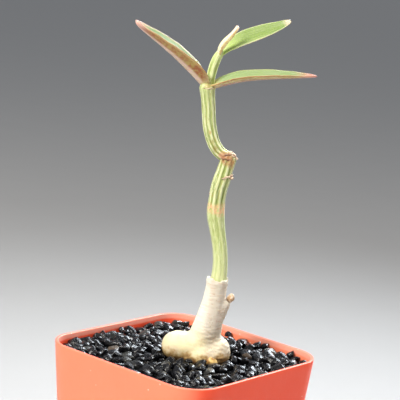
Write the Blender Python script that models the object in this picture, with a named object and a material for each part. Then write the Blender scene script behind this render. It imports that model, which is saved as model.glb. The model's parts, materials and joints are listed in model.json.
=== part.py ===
"""A potted monadenium: a young caudex succulent growing in a small square nursery pot.

Metres, +Z up. The origin is the centre of the pot's underside, with X and Y along the pot's sides.
The pot is filled with potting mix under a layer of black gravel. The swollen caudex sits on the
gravel with its taproot below, carries the ribbed green stem, and that carries four folded leaves.
"""

import math
import random

import bmesh
import bpy
from mathutils import Matrix, Vector

# Clearance between pieces that touch, and the wider one round what stands in the fill
GAP = 0.0003
ROOT_GAP = 0.00036

# The pot: a tapered square shell with rounded corners
POT_SIDE = 0.064
POT_HEIGHT = 0.060
POT_BASE_SIDE = 0.0532
POT_TOP_CORNER = 0.0104
POT_BASE_CORNER = 0.0075
POT_WALL = 0.0011
POT_FLOOR = 0.0016
RIM_WIDTH = 0.0016
RIM_DEPTH = 0.0032
RIM_ROUND = 0.0004
CORNER_STEPS = 6
DRAIN_HOLE_RADIUS = 0.003
DRAIN_HOLE_REACH = 0.0165
DRAIN_HOLE_SIDES = 20

# What fills it, as heights above the pot's underside
MIX_TOP = 0.0500
GRAVEL_BED_TOP = 0.0566
# The gravel lies higher along one side of the pot: its rise for each metre towards -X
GRAVEL_SLOPE = 0.020
STONE_COUNT = 260
STONE_SEED = 11
STONE_SIZES = (0.0017, 0.0027)
# How far a stone's centre lies above the bed, as a share of its size
STONE_LIFT = (0.1, 0.45)
STONE_POINTS = 11
# The nearest that two stones lie, as a share of their sizes together, and how long a place is sought
STONE_CROWDING = 0.78
STONE_TRIES = 40000
# A stone that would touch the pot moves inwards by a share of its size and is made smaller
STONE_SHIFT = 0.35
STONE_SHRINK = 0.85
STONE_SHARP_ANGLE = 0.3

# The plant is laid out in its own frame: X across its spread of leaves, Y to its back.
# That frame is turned so that the leaves reach across the pot from corner to corner.
PLANT_TURN = math.radians(40)

# Caudex and woody stem: (height, centre across, centre to the back, radius), from the top down
WOODY_STEM = (
    (0.0832, 0.0080, 0.0010, 0.00340),
    (0.0822, 0.0080, 0.0010, 0.00355),
    (0.0805, 0.0079, 0.0010, 0.00335),
    (0.0775, 0.0076, 0.0010, 0.00345),
    (0.0745, 0.0073, 0.0011, 0.00375),
    (0.0720, 0.0069, 0.0012, 0.00405),
    (0.0695, 0.0066, 0.0013, 0.00440),
    (0.0665, 0.0061, 0.0015, 0.00490),
    (0.0635, 0.0056, 0.0016, 0.00525),
    (0.0600, 0.0052, 0.0016, 0.00540),
    (0.0580, 0.0051, 0.0016, 0.00510),
    (0.0562, 0.0050, 0.0016, 0.00430),
    (0.0550, 0.0050, 0.0016, 0.00360),
    (0.0500, 0.0050, 0.0016, 0.00300),
    (0.0400, 0.0050, 0.0016, 0.00200),
    (0.0300, 0.0050, 0.0016, 0.00110),
)
CAUDEX_RINGS = (
    0.0832, 0.0822, 0.0805, 0.0785, 0.0765, 0.0745, 0.0720, 0.0700, 0.0680, 0.0668, 0.0660,
    0.0654, 0.0645, 0.0632, 0.0617, 0.0600, 0.0585, 0.0573, 0.0565, 0.0558, 0.0545,
    0.0500, 0.0400, 0.0300,
)
CAUDEX_SIDES = 26
# Lobes of the swollen foot: (bearing from across, reach, middle height, half height, spread)
LOBES = (
    (math.radians(183), 0.0076, 0.0603, 0.0049, math.radians(33)),
    (math.radians(-10), 0.0041, 0.0594, 0.0045, math.radians(34)),
    (math.radians(97), 0.0027, 0.0588, 0.0042, math.radians(36)),
    (math.radians(-62), 0.0008, 0.0584, 0.0030, math.radians(24)),
)
SOCKET_RADIUS = 0.00270
SOCKET_CENTRE = (0.0083, 0.0010)
SOCKET_FLOOR = 0.0816
TWIG_START = (0.0098, 0.0008, 0.0745)
TWIG_END = (0.0129, 0.0006, 0.0775)
TWIG_RADII = (0.00130, 0.00105)
TWIG_SIDES = 9
ROOTLET_START = (0.0088, -0.0026, 0.0588)
ROOTLET_END = (0.0098, -0.0052, 0.0568)
ROOTLET_RADII = (0.0014, 0.0006)
ROOTLET_SIDES = 7

# Green stem: (across, to the back, height, radius) along each of its two growths
LOWER_GROWTH = (
    (0.0083, 0.0010, 0.0820, 0.00232),
    (0.0084, 0.0010, 0.0850, 0.00238),
    (0.0083, 0.0010, 0.0890, 0.00232),
    (0.0078, 0.0011, 0.0930, 0.00234),
    (0.0070, 0.0013, 0.0962, 0.00238),
    (0.0061, 0.0015, 0.1000, 0.00258),
    (0.0055, 0.0016, 0.1040, 0.00274),
    (0.0054, 0.0015, 0.1075, 0.00256),
    (0.0056, 0.0013, 0.1110, 0.00258),
    (0.0063, 0.0010, 0.1145, 0.00268),
    (0.0070, 0.0008, 0.1175, 0.00244),
    (0.0077, 0.0006, 0.1205, 0.00250),
    (0.0083, 0.0005, 0.1225, 0.00200),
)
UPPER_GROWTH = (
    (0.0078, 0.0006, 0.1214, 0.00150),
    (0.0062, 0.0008, 0.1221, 0.00188),
    (0.0045, 0.0010, 0.1233, 0.00192),
    (0.0030, 0.0012, 0.1252, 0.00196),
    (0.0019, 0.0014, 0.1276, 0.00204),
    (0.0010, 0.0015, 0.1305, 0.00208),
    (0.0004, 0.0014, 0.1340, 0.00208),
    (0.0000, 0.0012, 0.1375, 0.00212),
    (-0.0004, 0.0010, 0.1400, 0.00218),
    (-0.0007, 0.0009, 0.1422, 0.00245),
)
STEM_RIBS = 9
SHOOT_RIBS = 5
# A rib's height as a share of the stem's radius, and the length between the stem's rings
RIB_HEIGHT = 0.07
STEM_STEP = 0.0022
# How a tip is drawn in: the distance past its last ring and what is left of its radius there
TIP_STEPS = ((0.35, 0.8), (0.55, 0.35))
# Leaf scars: (bearing, height on the lower growth, how far they stand out)
LEAF_SCARS = (
    (math.radians(-8), 0.1153, 0.0005),
    (math.radians(-112), 0.1046, 0.0003),
    (math.radians(130), 0.0965, 0.0003),
)
SCAR_SIZE = (0.0011, 0.0016, 0.0006)
DRIED_TIP = (0.0090, 0.0004, 0.1221)
DRIED_TIP_SIZE = (0.0014, 0.0019, 0.0012)

# Young shoot at the top: (across, to the back, height, radius)
SHOOT = (
    (-0.0001, 0.0012, 0.1440, 0.00115),
    (0.0000, 0.0012, 0.1459, 0.00140),
    (0.0005, 0.0013, 0.1488, 0.00146),
    (0.0013, 0.0014, 0.1514, 0.00142),
    (0.0020, 0.0014, 0.1528, 0.00110),
)
LEAF_STATIONS = 13
LEAF_THICKNESS = 0.0008
# How thin the blade is at its tip and at its margin, as shares of its thickness
LEAF_TIP_SHARE = 0.92
LEAF_MARGIN_SHARE = 0.9
# Where the points across the blade lie, from the keel at 0 to the margins
ACROSS_BLADE = (-1.0, -0.5, 0.0, 0.5, 1.0)
# The fold's trough: above 1 rounds the keel, and the lean of the faces follows the fold by this share
TROUGH_ROUNDING = 1.25
FACE_LEAN = 0.6
# Share of the full half width at points along the leaf, base to tip
BLADE_OUTLINE = (
    (0.0, 0.42), (0.07, 0.72), (0.16, 0.94), (0.27, 1.0), (0.42, 0.95),
    (0.58, 0.82), (0.74, 0.61), (0.88, 0.37), (0.96, 0.21), (1.0, 0.13),
)
# Where along the leaf that outline is widest, before a leaf stretches it to its own place
OUTLINE_WIDEST = 0.27
# name: midrib as (across, to the back, height), half width, fold of each half from flat, where along
# the leaf it is widest, and the way that its hollow side faces
LEAVES = {
    "leaf_left": {
        "midrib": (
            (-0.0031, 0.0004, 0.1439), (-0.0059, -0.0008, 0.1466), (-0.0110, -0.0024, 0.1509),
            (-0.0169, -0.0036, 0.1552), (-0.0216, -0.0044, 0.1583), (-0.0238, -0.0048, 0.1608),
        ),
        "half_width": 0.0049,
        "fold": math.radians(55),
        "widest": 0.24,
        "faces": (0.60, -0.13, 0.79),
    },
    "leaf_right": {
        "midrib": (
            (0.0019, 0.0008, 0.1431), (0.0052, 0.0004, 0.1443), (0.0110, -0.0002, 0.1460),
            (0.0180, -0.0006, 0.1472), (0.0250, -0.0007, 0.1480), (0.0318, -0.0006, 0.1488),
        ),
        "half_width": 0.0046,
        "fold": math.radians(27),
        "widest": 0.27,
        "faces": (-0.17, -0.19, 0.97),
    },
    "leaf_young_right": {
        "midrib": (
            (0.0031, 0.0020, 0.1536), (0.0051, 0.0026, 0.1553), (0.0088, 0.0036, 0.1577),
            (0.0140, 0.0046, 0.1601), (0.0191, 0.0052, 0.1624), (0.0226, 0.0054, 0.1644),
        ),
        "half_width": 0.0030,
        "fold": math.radians(15),
        "widest": 0.42,
        "faces": (-0.29, -0.73, 0.62),
    },
    "leaf_young_upright": {
        "midrib": (
            (0.0018, 0.0005, 0.1534), (0.0020, 0.0000, 0.1550), (0.0028, -0.0004, 0.1568),
            (0.0039, -0.0006, 0.1582), (0.0051, -0.0008, 0.1596), (0.0064, -0.0006, 0.1617),
        ),
        "half_width": 0.0018,
        "fold": math.radians(62),
        "widest": 0.40,
        "faces": (0.83, 0.05, -0.55),
    },
}

# Plain surface colours (red, green, blue), roughness
FINISHES = {
    "terracotta_plastic": ((0.72, 0.16, 0.08), 0.45),
    "potting_mix": ((0.06, 0.04, 0.03), 0.95),
    "black_gravel": ((0.02, 0.02, 0.025), 0.25),
    "pale_bark": ((0.78, 0.68, 0.48), 0.7),
    "green_stem": ((0.45, 0.55, 0.20), 0.5),
    "leaf_green": ((0.35, 0.50, 0.18), 0.45),
}


def clear_scene():
    for obj in list(bpy.data.objects):
        bpy.data.objects.remove(obj)


def finish_of(name):
    """The material of that name, made the first time it is asked for."""
    material = bpy.data.materials.get(name)
    if material is None:
        colour, roughness = FINISHES[name]
        material = bpy.data.materials.new(name)
        material.use_nodes = True
        shader = material.node_tree.nodes["Principled BSDF"]
        shader.inputs["Base Color"].default_value = (*colour, 1.0)
        shader.inputs["Roughness"].default_value = roughness
        shader.inputs["Metallic"].default_value = 0.0
    return material


def object_from(bm, name, finish, sharp_angle=math.radians(40)):
    """A new object holding the mesh, smooth but for its sharp edges."""
    bmesh.ops.recalc_face_normals(bm, faces=bm.faces)
    mesh = bpy.data.meshes.new(name)
    bm.to_mesh(mesh)
    bm.free()
    mesh.shade_smooth()
    mesh.set_sharp_from_angle(angle=sharp_angle)
    mesh.materials.append(finish_of(finish))
    obj = bpy.data.objects.new(name, mesh)
    bpy.context.scene.collection.objects.link(obj)
    return obj


def join_by(obj, others, operation, solver="EXACT"):
    """Applies one Boolean of obj with all the others, and removes them."""
    group = bpy.data.collections.new("tools")
    bpy.context.scene.collection.children.link(group)
    for other in others:
        bpy.context.scene.collection.objects.unlink(other)
        group.objects.link(other)
    boolean = obj.modifiers.new("join", "BOOLEAN")
    boolean.operation = operation
    boolean.operand_type = "COLLECTION"
    boolean.collection = group
    boolean.solver = solver
    bpy.context.view_layer.update()
    graph = bpy.context.evaluated_depsgraph_get()
    joined = bpy.data.meshes.new_from_object(obj.evaluated_get(graph))
    obj.modifiers.clear()
    obj.data = joined
    for other in list(group.objects):
        bpy.data.objects.remove(other)
    bpy.data.collections.remove(group)
    return obj


def drop_scraps(obj):
    """Keeps the body with the most corners and deletes what has come loose from it."""
    bm = bmesh.new()
    bm.from_mesh(obj.data)
    left = set(bm.verts)
    bodies = []
    while left:
        body, edge = set(), [left.pop()]
        while edge:
            vert = edge.pop()
            body.add(vert)
            near = {link.other_vert(vert) for link in vert.link_edges} & left
            left -= near
            edge.extend(near)
        bodies.append(body)
    bodies.sort(key=len)
    for body in bodies[:-1]:
        bmesh.ops.delete(bm, geom=list(body), context="VERTS")
    bm.to_mesh(obj.data)
    bm.free()
    return obj


def shell_of(bm, rings):
    """Joins rings of points, each with the same count, into a closed skin with flat end faces."""
    loops = [[bm.verts.new(point) for point in ring] for ring in rings]
    for near, far in zip(loops, loops[1:]):
        for i in range(len(near)):
            j = (i + 1) % len(near)
            bm.faces.new((near[i], near[j], far[j], far[i]))
    bm.faces.new(loops[0])
    bm.faces.new(loops[-1])
    return bm


def blend(low, high, share):
    return low + (high - low) * share


def between(rows, key):
    """The values after the first in each row, blended between the two rows that key lies between."""
    ordered = sorted(rows)
    key = min(max(key, ordered[0][0]), ordered[-1][0])
    for low, high in zip(ordered, ordered[1:]):
        if key <= high[0]:
            share = (key - low[0]) / (high[0] - low[0])
            return [blend(a, b, share) for a, b in zip(low[1:], high[1:])]
    return list(ordered[-1][1:])


def curve_value(t, a, b, c, d):
    """A Catmull-Rom curve's value a share t of the way from b to c."""
    square = 2 * a - 5 * b + 4 * c - d
    cube = 3 * b - a - 3 * c + d
    return 0.5 * (2 * b + (c - a) * t + square * t**2 + cube * t**3)


def smooth_route(points, step):
    """Points about a step apart on the Catmull-Rom curve through the given ones, of any dimension."""
    ends = [[2 * a - b for a, b in zip(points[0], points[1])], *points]
    ends.append([2 * a - b for a, b in zip(points[-1], points[-2])])
    route = []
    for p0, p1, p2, p3 in zip(ends, ends[1:], ends[2:], ends[3:]):
        count = max(1, round(math.dist(p1[:3], p2[:3]) / step))
        for k in range(count):
            route.append([curve_value(k / count, *values) for values in zip(p0, p1, p2, p3)])
    route.append(list(points[-1]))
    return route


def turned(point):
    """A point of the plant's own frame in the pot's frame."""
    return Matrix.Rotation(PLANT_TURN, 3, "Z") @ Vector(point)


# The pot


def rounded_square(half, corner, z):
    """The points of one level of the pot, anticlockwise from above."""
    ring = []
    for quarter in range(4):
        turn = Matrix.Rotation(quarter * math.pi / 2, 3, "Z")
        for k in range(CORNER_STEPS + 1):
            angle = k / CORNER_STEPS * math.pi / 2
            x = half - corner + corner * math.cos(angle)
            y = half - corner + corner * math.sin(angle)
            ring.append(turn @ Vector((x, y, z)))
    return ring


def pot_level(z, inset):
    """The outline of the pot at a height, moved in from its outer face."""
    share = z / POT_HEIGHT
    half = blend(POT_BASE_SIDE, POT_SIDE, share) / 2 - inset
    corner = blend(POT_BASE_CORNER, POT_TOP_CORNER, share) - inset
    return rounded_square(half, max(corner, inset), z)


def disc(radius, low, high, centre, sides=DRAIN_HOLE_SIDES):
    """An upright cylinder's rings."""
    return [
        [
            Vector((
                centre[0] + radius * math.cos(2 * math.pi * k / sides),
                centre[1] + radius * math.sin(2 * math.pi * k / sides),
                z,
            ))
            for k in range(sides)
        ]
        for z in (low, high)
    ]


def make_pot():
    top = POT_HEIGHT
    levels = [
        (0.0, RIM_ROUND),
        (RIM_ROUND, 0.0),
        (top - RIM_ROUND, 0.0),
        (top, RIM_ROUND),
        (top, RIM_WIDTH - RIM_ROUND),
        (top - RIM_ROUND, RIM_WIDTH),
        (top - RIM_DEPTH, RIM_WIDTH),
        (top - RIM_DEPTH - RIM_WIDTH, POT_WALL),
        (POT_FLOOR + POT_WALL, POT_WALL),
        (POT_FLOOR, 2 * POT_WALL),
    ]
    bm = shell_of(bmesh.new(), [pot_level(z, inset) for z, inset in levels])
    pot = object_from(bm, "pot", "terracotta_plastic")
    reach = DRAIN_HOLE_REACH
    centres = [(0.0, 0.0), (reach, reach), (-reach, reach), (-reach, -reach), (reach, -reach)]
    holes = []
    for centre in centres:
        rings = disc(DRAIN_HOLE_RADIUS, -POT_FLOOR, 2 * POT_FLOOR, centre)
        holes.append(object_from(shell_of(bmesh.new(), rings), "drain_hole", "terracotta_plastic"))
    return join_by(pot, holes, "DIFFERENCE")


# The caudex with its woody stem and taproot


def caudex_radius(bearing, z):
    """How far the caudex reaches from its centre line at a bearing and a height."""
    radius = between(WOODY_STEM, z)[2]
    for direction, reach, middle, half_height, spread in LOBES:
        rise = 1 - ((z - middle) / half_height) ** 2
        if rise > 0:
            off = math.remainder(bearing - direction, 2 * math.pi) / spread
            radius += reach * math.sqrt(rise) * math.exp(-off * off)
    return radius


def caudex_ring(z, grow=0.0):
    """One level of the caudex, or of the hole that it stands in, which is larger on all sides."""
    across, back, _ = between(WOODY_STEM, z)
    ring = []
    for k in range(CAUDEX_SIDES):
        bearing = 2 * math.pi * k / CAUDEX_SIDES
        radius = max(caudex_radius(bearing, z), caudex_radius(bearing, z + grow)) + grow
        point = (across + radius * math.cos(bearing), back + radius * math.sin(bearing), z)
        ring.append(turned(point))
    return ring


def peg(start, end, radii, sides):
    """A straight tapered peg between two points of the plant's frame."""
    start, end = Vector(start), Vector(end)
    axis = (end - start).normalized()
    side = axis.cross(Vector((0, 1, 0))).normalized()
    over = axis.cross(side)
    rings = []
    for centre, radius in ((start, radii[0]), (end, radii[1])):
        angles = [2 * math.pi * k / sides for k in range(sides)]
        rings.append([
            turned(centre + radius * (math.cos(a) * side + math.sin(a) * over)) for a in angles
        ])
    return shell_of(bmesh.new(), rings)


def make_caudex():
    rings = [caudex_ring(z) for z in CAUDEX_RINGS]
    caudex = object_from(shell_of(bmesh.new(), rings), "caudex", "pale_bark")
    twig = peg(TWIG_START, TWIG_END, TWIG_RADII, TWIG_SIDES)
    rootlet = peg(ROOTLET_START, ROOTLET_END, ROOTLET_RADII, ROOTLET_SIDES)
    grown = [object_from(twig, "twig", "pale_bark"), object_from(rootlet, "rootlet", "pale_bark")]
    join_by(caudex, grown, "UNION")
    centre = turned((*SOCKET_CENTRE, 0.0))
    above = CAUDEX_RINGS[0] + SOCKET_RADIUS
    socket = shell_of(bmesh.new(), disc(SOCKET_RADIUS, SOCKET_FLOOR, above, centre))
    return join_by(caudex, [object_from(socket, "socket", "pale_bark")], "DIFFERENCE")


def root_hole():
    """What is cut from the fill so that the caudex, its rootlet and its taproot stand clear of it."""
    levels = [z for z in CAUDEX_RINGS if z < LOBES[0][2] + LOBES[0][3]]
    rings = [caudex_ring(z, ROOT_GAP) for z in levels]
    rings[-1] = [point - Vector((0, 0, ROOT_GAP)) for point in rings[-1]]
    hole = object_from(shell_of(bmesh.new(), rings), "root_hole", "pale_bark")
    start, end = Vector(ROOTLET_START), Vector(ROOTLET_END)
    end += (end - start).normalized() * 2 * GAP
    wide = [radius + 2 * GAP for radius in ROOTLET_RADII]
    rootlet = object_from(peg(start, end, wide, ROOTLET_SIDES), "rootlet_hole", "pale_bark")
    return join_by(hole, [rootlet], "UNION")


# What fills the pot


def make_potting_mix():
    levels = (POT_FLOOR + GAP, POT_FLOOR + POT_WALL + GAP, MIX_TOP)
    insets = (2 * POT_WALL + 2 * GAP, POT_WALL + 2 * GAP, POT_WALL + GAP)
    rings = [pot_level(z, inset) for z, inset in zip(levels, insets)]
    mix = object_from(shell_of(bmesh.new(), rings), "potting_mix", "potting_mix")
    return join_by(mix, [root_hole()], "DIFFERENCE")


def stone_points(rng, size):
    """Corner points of one crushed stone about its own centre."""
    stretch = (rng.uniform(0.95, 1.35), rng.uniform(0.8, 1.05), rng.uniform(0.6, 0.85))
    turn = Matrix.Rotation(rng.uniform(0, 2 * math.pi), 3, "Z")
    turn = turn @ Matrix.Rotation(rng.uniform(-0.5, 0.5), 3, "X")
    points = []
    for k in range(STONE_POINTS):
        # A Fibonacci spiral spreads the corners evenly before each is moved at random
        height = 1 - (2 * k + 1) / STONE_POINTS
        bearing = k * math.pi * (3 - math.sqrt(5)) + rng.uniform(-0.25, 0.25)
        ring = math.sqrt(1 - height * height)
        reach = size * rng.uniform(0.85, 1.1)
        point = Vector((ring * math.cos(bearing), ring * math.sin(bearing), height)) * reach
        points.append(turn @ Vector([a * b for a, b in zip(point, stretch)]))
    return points


def inside_pot(point, margin):
    """True where a point is clear of the pot's inner face by the margin."""
    share = point.z / POT_HEIGHT
    half = blend(POT_BASE_SIDE, POT_SIDE, share) / 2 - RIM_WIDTH - margin
    corner = blend(POT_BASE_CORNER, POT_TOP_CORNER, share) - RIM_WIDTH
    x, y = abs(point.x) - half + corner, abs(point.y) - half + corner
    if x <= 0 or y <= 0:
        return max(x, y) <= corner
    return math.hypot(x, y) <= corner


def heap(point):
    """How much higher than at its middle the gravel lies at a place."""
    return -GRAVEL_SLOPE * point.x


def stone_places(rng):
    """Centres and sizes of the stones, from the pot's walls inwards, none too near another."""
    placed = []
    tries = 0
    while len(placed) < STONE_COUNT and tries < STONE_TRIES:
        tries += 1
        size = rng.uniform(*STONE_SIZES)
        reach = POT_SIDE / 2 - RIM_WIDTH
        centre = Vector((rng.uniform(-reach, reach), rng.uniform(-reach, reach), 0.0))
        centre.z = GRAVEL_BED_TOP + heap(centre) + size * rng.uniform(*STONE_LIFT)
        if not inside_pot(centre, size):
            continue
        crowded = any(
            math.dist(centre[:2], other[:2]) < STONE_CROWDING * (size + near) for other, near in placed
        )
        if not crowded:
            placed.append((centre, size))
    return placed


def make_gravel():
    under = pot_level(MIX_TOP + GAP, POT_WALL + GAP)
    top = pot_level(GRAVEL_BED_TOP, RIM_WIDTH + GAP)
    rings = [under, [point + Vector((0, 0, heap(point))) for point in top]]
    bed = shell_of(bmesh.new(), rings)
    gravel = object_from(bed, "black_gravel", "black_gravel", STONE_SHARP_ANGLE)
    rng = random.Random(STONE_SEED)
    stones = []
    for centre, size in stone_places(rng):
        points = [centre + point for point in stone_points(rng, size)]
        if not all(inside_pot(point, GAP) for point in points):
            centre = centre - Vector((centre.x, centre.y, 0)).normalized() * size * STONE_SHIFT
            points = [centre + (point - centre) * STONE_SHRINK for point in points]
            points = [point for point in points if inside_pot(point, GAP)]
        bm = bmesh.new()
        for point in points:
            bm.verts.new(point)
        hull = bmesh.ops.convex_hull(bm, input=bm.verts)
        bmesh.ops.delete(bm, geom=hull["geom_interior"], context="VERTS")
        stones.append(object_from(bm, "stone", "black_gravel", STONE_SHARP_ANGLE))
    join_by(gravel, stones, "UNION", solver="MANIFOLD")
    return drop_scraps(join_by(gravel, [root_hole()], "DIFFERENCE", solver="MANIFOLD"))


# The stem and the shoot


def tube_rings(route, ribs):
    """Rings square to a route of (across, back, height, radius), with ribs and grooves in turn."""
    sides = 2 * ribs
    centres = [Vector(point[:3]) for point in route]
    side = Vector((0, 1, 0))
    rings = []
    for i, centre in enumerate(centres):
        ahead = centres[min(i + 1, len(centres) - 1)] - centres[max(i - 1, 0)]
        axis = ahead.normalized()
        side = (side - axis * side.dot(axis)).normalized()
        over = axis.cross(side)
        ring = []
        for k in range(sides):
            angle = 2 * math.pi * k / sides
            radius = route[i][3] * (1 + RIB_HEIGHT * math.cos(ribs * angle))
            ring.append(turned(centre + radius * (math.cos(angle) * side + math.sin(angle) * over)))
        rings.append(ring)
    return rings


def rounded_tip(route):
    """The route with its last end drawn in, so that the stem's tip is round."""
    here, before = Vector(route[-1][:3]), Vector(route[-2][:3])
    radius = route[-1][3]
    out = (here - before).normalized() * radius
    return route + [[*(here + out * past), radius * left] for past, left in TIP_STEPS]


def blob(centre, size, bearing, sides=8):
    """A small flattened ball in the plant's frame, turned to a bearing."""
    bm = bmesh.new()
    bmesh.ops.create_uvsphere(bm, u_segments=sides, v_segments=5, radius=1.0)
    place = Matrix.Translation(turned(centre))
    turn = Matrix.Rotation(PLANT_TURN + bearing, 4, "Z")
    bmesh.ops.transform(bm, matrix=place @ turn @ Matrix.Diagonal((*size, 1.0)), verts=bm.verts)
    return bm


def make_stem():
    growths = []
    for growth in (LOWER_GROWTH, UPPER_GROWTH):
        rings = tube_rings(rounded_tip(smooth_route(growth, STEM_STEP)), STEM_RIBS)
        growths.append(object_from(shell_of(bmesh.new(), rings), "green_stem", "green_stem"))
    stem, *grown = growths
    heights = [(row[2], row[0], row[1], row[3]) for row in LOWER_GROWTH]
    for bearing, z, proud in LEAF_SCARS:
        across, back, radius = between(heights, z)
        reach = radius + proud - SCAR_SIZE[0]
        centre = (across + reach * math.cos(bearing), back + reach * math.sin(bearing), z)
        grown.append(object_from(blob(centre, SCAR_SIZE, bearing), "leaf_scar", "green_stem"))
    tip = blob(DRIED_TIP, DRIED_TIP_SIZE, 0.0)
    grown.append(object_from(tip, "dried_tip", "green_stem"))
    return join_by(stem, grown, "UNION")


def make_shoot():
    rings = tube_rings(rounded_tip(smooth_route(SHOOT, STEM_STEP / 2)), SHOOT_RIBS)
    return object_from(shell_of(bmesh.new(), rings), "young_shoot", "green_stem")


# The leaves


def leaf_section(midrib, k, spec):
    """The upper and lower points across a leaf at one station, margin to margin."""
    ahead = Vector(midrib[min(k + 1, len(midrib) - 1)]) - Vector(midrib[max(k - 1, 0)])
    axis = ahead.normalized()
    faces = Vector(spec["faces"])
    hollow = (faces - axis * faces.dot(axis)).normalized()
    lateral = axis.cross(hollow)
    share = k / (len(midrib) - 1)
    stretch = math.log(OUTLINE_WIDEST) / math.log(spec["widest"])
    width = spec["half_width"] * between(BLADE_OUTLINE, share**stretch)[0]
    out = lateral * math.cos(spec["fold"])
    rise = hollow * math.sin(spec["fold"])
    thickness = LEAF_THICKNESS * blend(1.0, LEAF_TIP_SHARE, share)
    upper, lower = [], []
    for across in ACROSS_BLADE:
        # The keel is drawn up a little, so that the fold is a trough and not a crease
        middle = Vector(midrib[k]) + out * width * across
        middle += rise * width * abs(across) ** TROUGH_ROUNDING
        lean = FACE_LEAN * math.sin(spec["fold"]) * math.copysign(math.sqrt(abs(across)), across)
        normal = (hollow - lateral * lean).normalized()
        half = normal * thickness * blend(1.0, LEAF_MARGIN_SHARE, abs(across)) / 2
        upper.append(turned(middle + half))
        lower.append(turned(middle - half))
    return upper, lower


def make_leaf(name, spec):
    step = math.dist(spec["midrib"][0], spec["midrib"][-1]) / LEAF_STATIONS
    midrib = smooth_route(spec["midrib"], step)
    bm = bmesh.new()
    sections = []
    for k in range(len(midrib)):
        upper, lower = leaf_section(midrib, k, spec)
        sections.append(([bm.verts.new(p) for p in upper], [bm.verts.new(p) for p in lower]))
    for (upper, lower), (next_upper, next_lower) in zip(sections, sections[1:]):
        # Both faces are split along the same diagonals, so that they never cross
        for i in range(len(upper) - 1):
            bm.faces.new((upper[i], next_upper[i], next_upper[i + 1]))
            bm.faces.new((upper[i], next_upper[i + 1], upper[i + 1]))
            bm.faces.new((lower[i], next_lower[i + 1], next_lower[i]))
            bm.faces.new((lower[i], lower[i + 1], next_lower[i + 1]))
        for end in (0, -1):
            bm.faces.new((upper[end], lower[end], next_lower[end], next_upper[end]))
    for upper, lower in (sections[0], sections[-1]):
        for i in range(len(upper) - 1):
            bm.faces.new((upper[i], upper[i + 1], lower[i + 1], lower[i]))
    return object_from(bm, name, "leaf_green")


def main():
    clear_scene()
    make_pot()
    make_potting_mix()
    make_gravel()
    make_caudex()
    make_stem()
    make_shoot()
    for name, spec in LEAVES.items():
        make_leaf(name, spec)


main()
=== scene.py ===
"""A potted monadenium, a young caudex succulent in a small square nursery pot. Metres, +Z up."""

import json
import math
import random

import bmesh
import bpy
import numpy as np
from mathutils import Matrix, Vector, noise

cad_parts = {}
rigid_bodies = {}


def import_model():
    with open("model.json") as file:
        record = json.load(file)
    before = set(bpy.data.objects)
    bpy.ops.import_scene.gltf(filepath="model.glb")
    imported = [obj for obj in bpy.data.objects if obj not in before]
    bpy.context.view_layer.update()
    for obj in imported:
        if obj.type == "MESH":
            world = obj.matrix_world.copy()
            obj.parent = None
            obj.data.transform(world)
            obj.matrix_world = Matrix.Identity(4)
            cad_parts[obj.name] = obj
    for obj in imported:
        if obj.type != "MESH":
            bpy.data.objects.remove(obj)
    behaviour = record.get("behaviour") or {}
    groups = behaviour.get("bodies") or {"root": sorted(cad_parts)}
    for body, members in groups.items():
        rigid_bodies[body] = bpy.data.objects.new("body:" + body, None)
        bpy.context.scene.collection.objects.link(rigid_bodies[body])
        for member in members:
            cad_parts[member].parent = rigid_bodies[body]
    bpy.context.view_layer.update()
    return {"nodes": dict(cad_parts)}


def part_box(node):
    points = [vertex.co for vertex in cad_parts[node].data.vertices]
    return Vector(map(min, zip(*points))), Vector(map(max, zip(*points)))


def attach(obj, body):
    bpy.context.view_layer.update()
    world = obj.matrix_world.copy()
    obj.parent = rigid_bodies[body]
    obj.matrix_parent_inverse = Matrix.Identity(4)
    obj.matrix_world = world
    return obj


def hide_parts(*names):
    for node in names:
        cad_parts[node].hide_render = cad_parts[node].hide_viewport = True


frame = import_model()
mm = 0.001


# The view and the light. The camera stands a little above the rim, opposite one corner of the pot,
# and is turned slightly about its own axis. One large soft lamp shines from the upper left, cooler
# and weaker ones fill the right side and the back edge, and a plain pale floor runs under it all.

look_at = Vector((0.16, 0.13, 107.55)) * mm
camera_distance = 431.8 * mm
camera_bearing = 39.98
camera_rise = 10.547
camera_roll = 5.389
camera_lens = 126
floor_span = 24.0
floor_grey = (0.44, 0.435, 0.43)
sky_grey = (0.86, 0.90, 0.96)
sky_strength = 0.38
# name: bearing and rise in degrees, distance, width, power, how wide its grid lets it spread, colour
lamps = {
    "key_lamp": (-4, 44, 0.75, 0.30, 8.5, 180, (1.0, 0.965, 0.90)),
    "fill_lamp": (112, 24, 0.9, 0.5, 2.3, 180, (1.0, 0.93, 0.88)),
    "back_lamp": (186, 36, 0.7, 0.34, 1.35, 60, (0.86, 0.93, 1.0)),
}


def seen_from(bearing, rise, distance, roll=0.0):
    """Where something stands that looks back at the plant: bearing 0 is in front, 90 on the right."""
    turn = Matrix.Rotation(math.radians(bearing), 4, "Z")
    tilt = Matrix.Rotation(math.radians(90 - rise), 4, "X")
    lean = Matrix.Rotation(math.radians(roll), 4, "Z")
    return Matrix.Translation(look_at) @ turn @ tilt @ lean @ Matrix.Translation((0, 0, distance))


def place(name, data):
    obj = bpy.data.objects.new(name, data)
    bpy.context.scene.collection.objects.link(obj)
    return obj


def node(tree, kind, inputs=None, **settings):
    """A new node, with its settings, and with each input set to a value or linked to a socket."""
    made = tree.nodes.new(kind)
    for key, value in settings.items():
        setattr(made, key, value)
    sockets = {socket.identifier: socket for socket in made.inputs}
    for key, value in (inputs or {}).items():
        socket = sockets[key] if key in sockets else made.inputs[key]
        if isinstance(value, bpy.types.NodeSocket):
            tree.links.new(value, socket)
        else:
            socket.default_value = value
    return made


def finish(name):
    """A new material's tree and its shader."""
    material = bpy.data.materials.new(name)
    material.use_nodes = True
    tree = material.node_tree
    return material, tree, tree.nodes["Principled BSDF"]


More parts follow.
